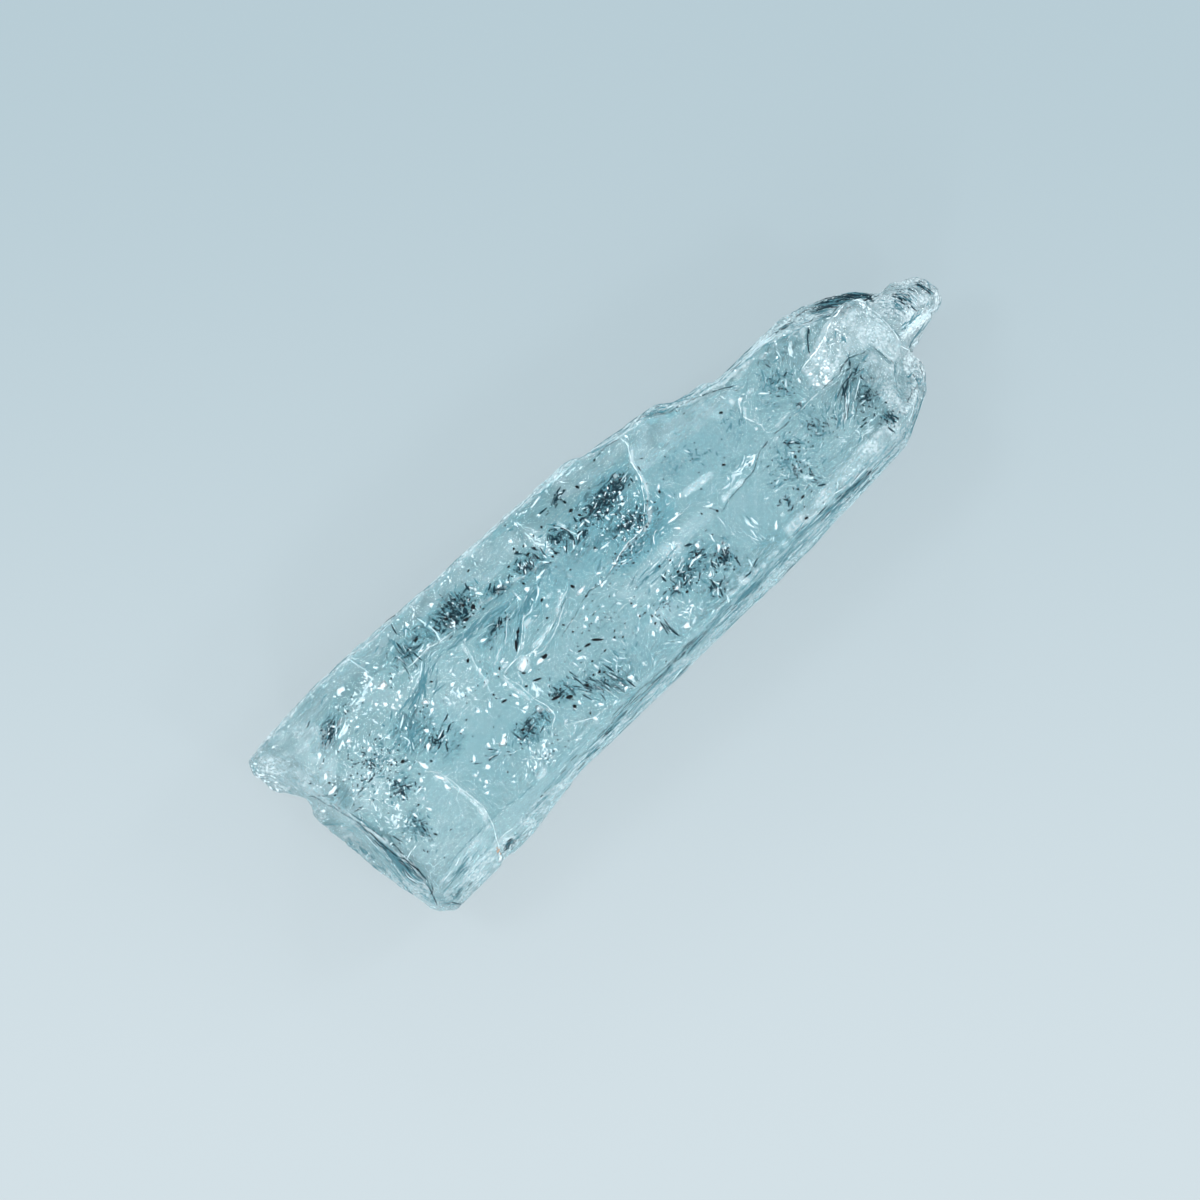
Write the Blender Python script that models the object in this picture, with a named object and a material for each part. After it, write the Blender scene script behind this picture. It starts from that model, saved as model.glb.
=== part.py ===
# Rough aquamarine crystal, 56 mm long, one piece, lying on a prism face.
#
# The crystal's long axis runs along X, from the broken base at -X to the etched
# growth tip at +X. The broad face that shows looks up, +Z, and the crystal rests on
# the prism face opposite. The origin is the middle of its box on that lower side.
#
# Every solid starts as a block of flat faces through named corners. Shell-shaped
# fractures are cut from the main block, the growths at the tip are joined to it, and
# small chips and grooves are cut last.

import math
import random

import bmesh
import bpy
from mathutils import Matrix, Quaternion, Vector

MM = 0.001

# Main block, corners in millimetres. Each row runs from the base to the tip.
RESTING_FACE = ((-25.2, 5.8, 0.0), (-24.4, -6.8, 0.0), (17.6, -6.1, 0.0), (16.4, 2.8, 0.0))
FRONT_BEVEL = ((-24.9, -8.2, 1.7), (18.0, -7.4, 1.9))
FRONT_WIDEST = ((-25.0, -8.8, 4.2), (-18.6, -8.84, 4.4), (8.0, -8.42, 5.3), (18.9, -8.07, 5.6))
FRONT_TOP_EDGE = ((-24.9, -6.1, 8.9), (0.0, -6.75, 9.1), (18.5, -7.1, 8.9))
BACK_WIDEST = ((-27.7, 8.4, 6.6), (-21.3, 8.84, 6.2), (1.6, 7.48, 6.4), (9.0, 6.1, 5.9), (19.0, 4.1, 5.4))
BACK_BEVEL = ((-26.0, 7.8, 2.1), (16.8, 3.9, 2.2))
BACK_TOP_EDGE = (
    (-27.3, 8.1, 8.2), (-21.2, 8.5, 8.6), (1.6, 7.1, 8.7), (7.8, 5.7, 8.8), (11.5, 4.2, 8.9),
    (15.6, 3.5, 8.8), (19.6, 2.5, 8.6),
)
TOP_CREASE = ((-24.8, 6.0, 9.1), (-16.0, 5.4, 9.35), (0.3, 3.4, 9.4), (12.0, 1.2, 9.25))
BASE_TOP_EDGE = ((-26.9, 4.4, 8.9), (-25.2, -1.4, 9.25), (-25.0, -5.2, 9.05))
BASE_WIDEST = ((-28.15, 7.5, 6.9), (-28.2, 6.1, 6.2), (-27.1, -1.4, 4.6), (-26.05, -7.85, 4.2))
TIP_TOP_EDGE = ((22.4, -1.0, 8.8), (22.6, -4.5, 8.4), (20.2, -6.7, 8.3))
TIP_WIDEST = (
    (23.7, 0.9, 7.0), (23.95, -4.0, 6.2), (23.75, -4.95, 5.8), (22.75, -6.25, 5.2), (20.3, -7.45, 5.6),
    (19.4, -7.9, 5.6),
)
TIP_UNDERSIDE = ((21.6, -4.9, 1.9), (20.8, 2.4, 1.7))

MAIN_CORNERS = (
    RESTING_FACE + FRONT_BEVEL + FRONT_WIDEST + FRONT_TOP_EDGE
    + BACK_BEVEL + BACK_WIDEST + BACK_TOP_EDGE + TOP_CREASE
    + BASE_TOP_EDGE + BASE_WIDEST + TIP_TOP_EDGE + TIP_WIDEST + TIP_UNDERSIDE
)

# Flat steps along the sides, seen from above, in millimetres: each is cut straight
# down through the block, and its wall leans by the last number from bottom to top.
STEPS = {
    "back_step_base": (((2.2, 9.5), (2.2, 7.6), (2.72, 7.08), (9.0, 6.06), (9.6, 9.5)), -0.25),
    "back_step_middle": (((8.9, 9.5), (8.9, 6.2), (9.9, 5.34), (12.1, 4.90), (12.9, 9.5)), -0.45),
    "back_step_tip": (((12.0, 9.5), (12.0, 5.0), (12.85, 4.38), (18.9, 4.34), (19.6, 9.5)), -0.60),
    "front_step": (((-18.2, -9.8), (-17.4, -8.75), (-12.4, -8.03), (8.6, -8.45), (8.9, -9.8)), 0.10),
}
BASE_NOTCH = (
    (-29.5, 7.0), (-28.15, 5.92), (-27.47, 5.17), (-26.86, 4.22), (-26.7, 3.47), (-27.1, 2.99), (-29.5, 1.2),
)

# Growths etched out at the tip: a frosted ledge on top, a lower rim behind it, and a
# finger that reaches furthest, with a thin lip under it.
LEDGE_CORNERS = (
    (17.4, -0.9, 9.0), (17.6, 0.7, 9.1), (20.6, 1.6, 9.3), (22.6, 1.75, 9.2), (23.5, 1.2, 8.9),
    (23.6, -1.2, 9.1), (23.6, -4.4, 8.5), (22.8, -5.2, 8.3), (21.6, -1.2, 9.7), (22.9, 0.4, 9.6),
    (23.8, 1.2, 7.6), (23.8, -4.8, 7.2), (17.6, 0.2, 7.0), (22.0, -4.8, 6.0), (22.6, 1.9, 7.4),
)
RIM_CORNERS = (
    (16.0, 3.9, 5.6), (18.8, 4.1, 5.7), (21.0, 3.5, 5.3), (23.3, 2.45, 4.9), (25.0, 0.85, 4.5),
    (24.9, -0.7, 4.8), (22.6, 0.6, 7.3), (19.6, 2.4, 7.9), (16.0, 3.2, 8.2),
    (16.2, 2.6, 2.8), (22.6, 0.8, 2.2), (24.2, -0.8, 2.8),
)
FINGER_CORNERS = (
    (22.0, 0.9, 5.0), (22.0, -0.8, 7.2), (22.0, -3.2, 6.7), (22.0, -3.8, 4.8), (22.0, -1.0, 2.0),
    (26.2, 0.55, 5.0), (26.3, -0.8, 6.6), (26.5, -2.6, 6.2), (26.6, -3.25, 4.7), (26.2, -1.6, 2.8),
    (27.5, -0.2, 4.9), (28.0, -1.0, 5.3), (28.15, -2.1, 5.0), (27.8, -2.9, 4.4), (27.4, -1.5, 3.3),
)
LIP_CORNERS = (
    (22.6, -2.0, 4.4), (23.6, -3.95, 4.5), (25.0, -3.8, 4.4), (25.8, -3.2, 4.3), (25.4, -1.8, 4.3),
    (23.4, -2.0, 3.5), (24.8, -3.4, 3.9),
)

# Shell-shaped fractures: middle of the scar, the way its face looks, its two half
# sizes, its depth, and how far it is turned about the way it looks, in degrees.
TOP_SCARS = (
    ((-1.6, 3.5, 9.4), (0.02, 0.05, 1), (8.6, 4.0), 0.55, 4),
    ((8.8, 1.3, 9.25), (0.05, 0.06, 1), (5.4, 4.6), 0.50, -12),
    ((-23.4, -5.0, 9.0), (-0.11, -0.12, 1), (5.0, 5.4), 0.70, 10),
    ((17.2, -3.4, 8.8), (0.04, 0.0, 1), (3.2, 2.4), 0.55, 35),
    ((-9.6, -3.7, 9.2), (0.0, -0.03, 1), (9.4, 3.6), 0.36, -2),
    ((3.4, -4.2, 9.15), (0.01, -0.04, 1), (5.8, 3.2), 0.34, 4),
    ((11.2, -4.6, 9.05), (0.0, -0.04, 1), (4.4, 3.1), 0.34, 0),
    ((-17.4, 1.6, 9.3), (-0.01, 0.0, 1), (6.4, 3.6), 0.36, 10),
    ((15.6, 1.6, 9.0), (0.04, 0.10, 1), (3.8, 2.7), 0.45, -12),
    ((-13.5, 7.1, 9.0), (0.0, 0.14, 1), (7.0, 1.7), 0.30, -3),
    ((-25.2, 6.2, 8.8), (-0.14, 0.10, 1), (2.8, 2.4), 0.36, 0),
)
END_SCARS = (
    ((-26.0, -3.4, 7.0), (-0.93, 0.10, 0.36), (4.0, 2.2), 0.42, 0),
    ((-26.2, 0.6, 1.8), (-0.92, 0.0, -0.38), (3.8, 2.2), 0.45, 0),
    ((20.9, -0.8, 2.2), (0.50, 0.05, -0.86), (3.4, 3.2), 0.60, 0),
)
SIDE_SCARS = (
    ((11.0, 4.85, 7.2), (0.26, 0.92, 0.28), (1.4, 2.0), 0.22, 0),
    ((15.6, 4.05, 7.2), (0.06, 0.97, 0.24), (2.4, 2.0), 0.20, 0),
    ((6.0, 6.4, 7.4), (0.16, 0.96, 0.22), (2.6, 1.6), 0.22, 0),
    ((-8.0, 7.2, 3.2), (0.02, 0.87, -0.50), (5.6, 2.3), 0.42, 0),
    ((10.0, 4.6, 3.4), (0.10, 0.87, -0.50), (3.6, 2.0), 0.40, 0),
    ((-20.1, -8.75, 4.3), (0.0, -1.0, 0.05), (0.55, 0.9), 0.34, 0),
    ((21.8, -6.8, 7.0), (0.45, -0.80, 0.40), (1.8, 1.4), 0.35, 0),
    ((-15.0, -7.6, 1.8), (0.0, -0.87, -0.5), (3.4, 1.7), 0.30, 0),
    ((7.0, -7.3, 2.6), (0.0, -0.87, -0.5), (4.8, 2.0), 0.34, 0),
)

# Grooves and facets on the growths, written the same way.
GROWTH_SCARS = (
    ((26.8, -0.9, 6.35), (0.25, 0.25, 1), (0.40, 1.7), 0.16, 0),
    ((26.0, -2.9, 6.0), (0.1, -0.7, 0.7), (1.6, 0.8), 0.16, 0),
    ((21.0, 2.9, 6.9), (0.25, 0.75, 0.60), (2.0, 0.9), 0.18, 0),
    ((24.4, 0.9, 5.8), (0.40, 0.70, 0.55), (1.3, 0.7), 0.16, 0),
    ((23.9, -3.2, 8.0), (0.95, 0.0, 0.30), (1.2, 0.5), 0.14, 0),
)

# Small chips along the long top edge at the back.
CHIP_COUNT = 22
CHIP_RADIUS = (0.7, 1.5)
CHIP_DEPTH = (0.16, 0.34)
SEED = 81

SCAR_SUBDIVISIONS = 5
CHIP_SUBDIVISIONS = 3
AQUA = (0.34, 0.60, 0.66, 1.0)


def clear_scene():
    for old in list(bpy.data.objects):
        bpy.data.objects.remove(old, do_unlink=True)


def make_collection(name, hidden=False):
    collection = bpy.data.collections.new(name)
    bpy.context.scene.collection.children.link(collection)
    collection.hide_render = hidden
    return collection


def aqua_material():
    material = bpy.data.materials.new("aquamarine")
    material.use_nodes = True
    shader = material.node_tree.nodes["Principled BSDF"]
    shader.inputs["Base Color"].default_value = AQUA
    shader.inputs["Roughness"].default_value = 0.25
    shader.inputs["Metallic"].default_value = 0.0
    shader.inputs["IOR"].default_value = 1.577
    return material


def add_object(name, bm, collection, helper=False):
    mesh = bpy.data.meshes.new(name)
    bm.to_mesh(mesh)
    bm.free()
    made = bpy.data.objects.new(name, mesh)
    collection.objects.link(made)
    made.hide_render = helper
    if helper:
        made.display_type = "WIRE"
    return made


def block(name, corners, collection, helper=False):
    # The flat-faced block whose corners are given in millimetres.
    bm = bmesh.new()
    for corner in corners:
        bm.verts.new(Vector(corner) * MM)
    hull = bmesh.ops.convex_hull(bm, input=bm.verts)
    inside = [item for item in hull["geom_interior"] if isinstance(item, bmesh.types.BMVert)]
    bmesh.ops.delete(bm, geom=inside, context="VERTS")
    bmesh.ops.recalc_face_normals(bm, faces=bm.faces)
    return add_object(name, bm, collection, helper)


def facing(looks, turn):
    # The turn that lays a cutter's X along the crystal, or across it on an end face.
    normal = Vector(looks).normalized()
    guide = Vector((0, 1, 0)) if abs(normal.x) > 0.8 else Vector((1, 0, 0))
    along = (guide - normal * guide.dot(normal)).normalized()
    across = normal.cross(along)
    upright = Matrix((along, across, normal)).transposed().to_quaternion()
    return Quaternion(normal, math.radians(turn)) @ upright


def scar(name, middle, looks, half_sizes, depth, turn, collection, subdivisions):
    # A stretched sphere that bites this deep into a face, over these two half sizes.
    mean = math.sqrt(half_sizes[0] * half_sizes[1])
    radius = (mean * mean + depth * depth) / (2 * depth)
    bm = bmesh.new()
    bmesh.ops.create_icosphere(bm, subdivisions=subdivisions, radius=radius * MM)
    stretch = Vector((half_sizes[0] / mean, half_sizes[1] / mean, 1.0))
    bmesh.ops.scale(bm, vec=stretch, verts=bm.verts)
    cutter = add_object(name, bm, collection, helper=True)
    cutter.rotation_mode = "QUATERNION"
    cutter.rotation_quaternion = facing(looks, turn)
    cutter.location = (Vector(middle) + Vector(looks).normalized() * (radius - depth)) * MM
    return cutter


def cut_steps(collection):
    for name, (outline, lean) in STEPS.items():
        below = tuple((x, y, -1.0) for x, y in outline)
        above = tuple((x, y + lean, 11.0) for x, y in outline)
        block(name, below + above, collection, helper=True)
    below = tuple((x + 0.5, y, -1.0) for x, y in BASE_NOTCH)
    above = tuple((x - 0.4, y, 11.0) for x, y in BASE_NOTCH)
    block("base_notch", below + above, collection, helper=True)


def cut_scars(kind, scars, collection, subdivisions):
    for number, (middle, looks, half_sizes, depth, turn) in enumerate(scars, start=1):
        name = f"{kind}_scar_{number:02d}"
        scar(name, middle, looks, half_sizes, depth, turn, collection, subdivisions)


def point_along(line, share):
    # The point this share of the way along a line of corners.
    points = [Vector(corner) for corner in line]
    lengths = [(b - a).length for a, b in zip(points, points[1:])]
    left = share * sum(lengths)
    for start, end, length in zip(points, points[1:], lengths):
        if left <= length:
            return start.lerp(end, left / length)
        left -= length
    return points[-1]


def cut_chips(collection):
    chance = random.Random(SEED)
    for number in range(CHIP_COUNT):
        share = (number + chance.uniform(0.2, 0.8)) / CHIP_COUNT
        edge = point_along(BACK_TOP_EDGE, share)
        looks = (chance.uniform(-0.3, 0.3), chance.uniform(0.7, 1.0), chance.uniform(0.5, 1.0))
        radius = chance.uniform(*CHIP_RADIUS)
        depth = chance.uniform(*CHIP_DEPTH)
        name = f"edge_chip_{number + 1:02d}"
        scar(name, edge, looks, (radius, radius), depth, 0, collection, CHIP_SUBDIVISIONS)


def combine(target, collection, operation):
    modifier = target.modifiers.new(operation.lower(), "BOOLEAN")
    modifier.operation = operation
    modifier.operand_type = "COLLECTION"
    modifier.collection = collection
    modifier.solver = "EXACT"


def centre_on_base(made):
    # Moves the finished mesh so that the middle of its box, at its lowest, is the origin.
    graph = bpy.context.evaluated_depsgraph_get()
    finished = bpy.data.meshes.new_from_object(made.evaluated_get(graph))
    made.modifiers.clear()
    made.data = finished
    low = Vector(min(v.co[axis] for v in finished.vertices) for axis in range(3))
    high = Vector(max(v.co[axis] for v in finished.vertices) for axis in range(3))
    middle = (low + high) / 2
    finished.transform(Matrix.Translation((-middle.x, -middle.y, -low.z)))


def main():
    clear_scene()
    crystal = make_collection("aquamarine crystal")
    fractures = make_collection("fractures in the main block", hidden=True)
    growths = make_collection("growths to join", hidden=True)
    chips = make_collection("chips and grooves", hidden=True)

    body = block("aquamarine_crystal", MAIN_CORNERS, crystal)
    cut_steps(fractures)
    cut_scars("top", TOP_SCARS, fractures, SCAR_SUBDIVISIONS)
    cut_scars("end", END_SCARS, fractures, SCAR_SUBDIVISIONS)
    cut_scars("side", SIDE_SCARS, fractures, SCAR_SUBDIVISIONS)
    block("frosted_ledge", LEDGE_CORNERS, growths, helper=True)
    block("lower_rim", RIM_CORNERS, growths, helper=True)
    block("finger", FINGER_CORNERS, growths, helper=True)
    block("finger_lip", LIP_CORNERS, growths, helper=True)
    cut_scars("growth", GROWTH_SCARS, chips, CHIP_SUBDIVISIONS)
    cut_chips(chips)

    combine(body, fractures, "DIFFERENCE")
    combine(body, growths, "UNION")
    combine(body, chips, "DIFFERENCE")
    centre_on_base(body)
    body.data.materials.clear()
    body.data.materials.append(aqua_material())


main()
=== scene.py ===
import math
import random

import bpy
import numpy as np
from mathutils import Matrix, Quaternion, Vector
from mathutils.bvhtree import BVHTree


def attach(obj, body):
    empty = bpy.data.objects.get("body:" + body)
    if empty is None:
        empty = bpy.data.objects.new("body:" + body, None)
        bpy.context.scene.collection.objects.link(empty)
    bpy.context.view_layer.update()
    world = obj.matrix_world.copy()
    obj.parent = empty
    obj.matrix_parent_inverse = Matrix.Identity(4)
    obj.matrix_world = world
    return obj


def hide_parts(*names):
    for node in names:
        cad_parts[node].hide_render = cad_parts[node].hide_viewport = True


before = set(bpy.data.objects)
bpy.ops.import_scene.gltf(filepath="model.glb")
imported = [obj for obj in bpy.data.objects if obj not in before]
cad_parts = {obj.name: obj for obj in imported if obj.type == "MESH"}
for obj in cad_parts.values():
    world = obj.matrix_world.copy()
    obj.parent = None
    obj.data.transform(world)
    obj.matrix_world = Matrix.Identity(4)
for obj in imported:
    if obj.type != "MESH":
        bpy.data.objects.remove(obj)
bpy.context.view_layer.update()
mm = 0.001
fullTurn = 6.2832


# Shader maths

class Wire:
    # One output socket; Python arithmetic on it adds the Math nodes.
    def __init__(self, socket):
        self.socket = socket

    def node(self, kind, settings, inputs, output=0):
        tree = self.socket.id_data
        made = tree.nodes.new(kind)
        for name, value in settings.items():
            setattr(made, name, value)
        for key, value in inputs.items():
            if isinstance(value, Wire):
                tree.links.new(value.socket, made.inputs[key])
            else:
                made.inputs[key].default_value = value
        return Wire(made.outputs[output])

    def math(self, operation, first, second=0.0):
        return self.node("ShaderNodeMath", {"operation": operation}, {0: first, 1: second})

    def __add__(self, other):
        return self.math("ADD", self, other)

    def __sub__(self, other):
        return self.math("SUBTRACT", self, other)

    def __rsub__(self, other):
        return self.math("SUBTRACT", other, self)

    def __mul__(self, other):
        return self.math("MULTIPLY", self, other)

    __radd__ = __add__
    __rmul__ = __mul__

    def most(self, other):
        return self.math("MAXIMUM", self, other)

    def least(self, other):
        return self.math("MINIMUM", self, other)

    def size(self):
        return self.math("ABSOLUTE", self)

    def ramp(self, low, high):
        # 0 at low, 1 at high, smooth between; low may be the larger.
        return self.node("ShaderNodeMapRange", {"interpolation_type": "SMOOTHSTEP"},
                         {"Value": self, "From Min": low, "From Max": high})

    def stretched(self, along, across, up):
        return self.node("ShaderNodeVectorMath", {"operation": "MULTIPLY"},
                         {0: self, 1: (along, across, up)})

    def noise(self, scale, detail=3.0, roughness=0.55, distortion=0.0):
        return self.node("ShaderNodeTexNoise", {"noise_dimensions": "3D"},
                         {"Vector": self, "Scale": scale, "Detail": detail,
                          "Roughness": roughness, "Distortion": distortion})

    def cracks(self, scale, width):
        # 1 on the seams between cells, 0 away from them.
        gap = self.node("ShaderNodeTexVoronoi", {"feature": "DISTANCE_TO_EDGE"},
                        {"Vector": self, "Scale": scale}, "Distance")
        return gap.ramp(width, 0.0)

    def tinted(self, first, second):
        # This value as the share of the second colour in the first.
        return self.node("ShaderNodeMix", {"data_type": "RGBA"}, {0: self, 6: first, 7: second}, 2)

    def attribute(self, name):
        return self.node("ShaderNodeAttribute", {"attribute_name": name}, {}, "Fac")


def newMaterial(name):
    material = bpy.data.materials.new(name)
    material.use_nodes = True
    material.node_tree.nodes.clear()
    inMetres = Wire(material.node_tree.nodes.new("ShaderNodeTexCoord").outputs["Object"])
    return material, inMetres.stretched(1000, 1000, 1000)  # the place in millimetres


def finishMaterial(surface, volume=None):
    tree = surface.socket.id_data
    output = tree.nodes.new("ShaderNodeOutputMaterial")
    tree.links.new(surface.socket, output.inputs["Surface"])
    if volume:
        tree.links.new(volume.socket, output.inputs["Volume"])


# Fields over the surface, all in millimetres

def latticeNoise(points, seed):
    # Smooth noise from 0 to 1, blended from values hashed at whole-number corners.
    cell = np.floor(points).astype(np.int64)
    inside = points - cell
    blend = inside * inside * (3 - 2 * inside)
    total = np.zeros(len(points))
    for corner in range(8):
        step = np.array([corner & 1, corner >> 1 & 1, corner >> 2 & 1])
        place = cell + step
        mixed = place[:, 0] * 73856093 ^ place[:, 1] * 19349663 ^ place[:, 2] * 83492791 ^ seed * 374761393
        mixed = (mixed ^ mixed >> 13) * 1274126177 & 0xFFFFFFFF
        value = ((mixed ^ mixed >> 16) & 0xFFFF) / 65535
        total += np.prod(np.where(step, blend, 1 - blend), axis=1) * value
    return total


def layeredNoise(points, size, seed, layers=3, ridged=False):
    # Finer and finer noise, each layer half as strong; ridged has sharp crests at 1, round hollows near 0.
    total, weight, share = np.zeros(len(points)), 0.0, 1.0
    for layer in range(layers):
        values = latticeNoise(points * (2 ** layer / size), seed + layer)
        total += share * (1 - np.abs(2 * values - 1) if ridged else values)
        weight += share
        share *= 0.5
    return total / weight


def ridgedNoise(points, size, seed, layers=3):
    return layeredNoise(points, size, seed, layers, ridged=True)


def wavering(points, size, seeds, layers, reach):
    # Places seen from above, each moved a little, so that lines drawn among them waver.
    shift = np.stack([layeredNoise(points, size, seed, layers) for seed in seeds], 1) - 0.5
    return points[:, :2] + shift * reach


def lineGap(places, line):
    # How far each place is from a line, which side it is on, and a taper to the line's ends.
    best = np.full(len(places), 1e6)
    side = np.zeros(len(places))
    share = np.zeros(len(places))
    corners = [np.array(corner) for corner in line]
    lengths = [float(np.hypot(*(end - start))) for start, end in zip(corners, corners[1:])]
    walked = 0.0
    for start, end, length in zip(corners, corners[1:], lengths):
        run = end - start
        offset = places - start
        along = np.clip(offset @ run / (length * length), 0, 1)
        gap = np.hypot(*(offset - along[:, None] * run).T)
        closer = gap < best
        best[closer] = gap[closer]
        side[closer] = np.sign(run[0] * offset[closer, 1] - run[1] * offset[closer, 0])
        share[closer] = (walked + along[closer] * length) / sum(lengths)
        walked += length
    taper = np.clip(np.minimum(share, 1 - share) * 8, 0, 1)
    return best, side, taper


def patchShare(points, patches, seed):
    # 1 inside the named patches, 0 outside, with ragged soft rims.
    ragged = (layeredNoise(points, 1.9, seed, 2) + layeredNoise(points, 0.6, seed + 50, 2) - 1.0) * 0.9
    most = np.zeros(len(points))
    for x, y, halfAlong, halfAcross, turn, strength in patches:
        angle = math.radians(turn)
        dx, dy = points[:, 0] - x, points[:, 1] - y
        along = (dx * math.cos(angle) + dy * math.sin(angle)) / halfAlong
        across = (dy * math.cos(angle) - dx * math.sin(angle)) / halfAcross
        reach = np.hypot(along, across) + ragged
        most = np.maximum(most, strength * np.clip((1.2 - reach) / 0.5, 0, 1))
    return most


def outlineShare(places, outline, softness):
    # 1 inside an outline, 0 outside, with a soft rim.
    nearest = np.full(len(places), 99.0)
    inside = np.zeros(len(places), dtype=bool)
    corners = [np.array(corner) for corner in outline]
    for start, end in zip(corners, corners[1:] + corners[:1]):
        run = end - start
        offset = places - start
        along = np.clip(offset @ run / (run @ run), 0, 1)
        nearest = np.minimum(nearest, np.hypot(*(offset - along[:, None] * run).T))
        crosses = (places[:, 1] < start[1]) != (places[:, 1] < end[1])
        level = run[1] if run[1] else 1e-9
        inside ^= crosses & (places[:, 0] < start[0] + offset[:, 1] * run[0] / level)
    return np.clip(0.5 + np.where(inside, nearest, -nearest) / softness, 0, 1)


# The crystal. Places are seen from above: along it from the middle, then across.

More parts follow.
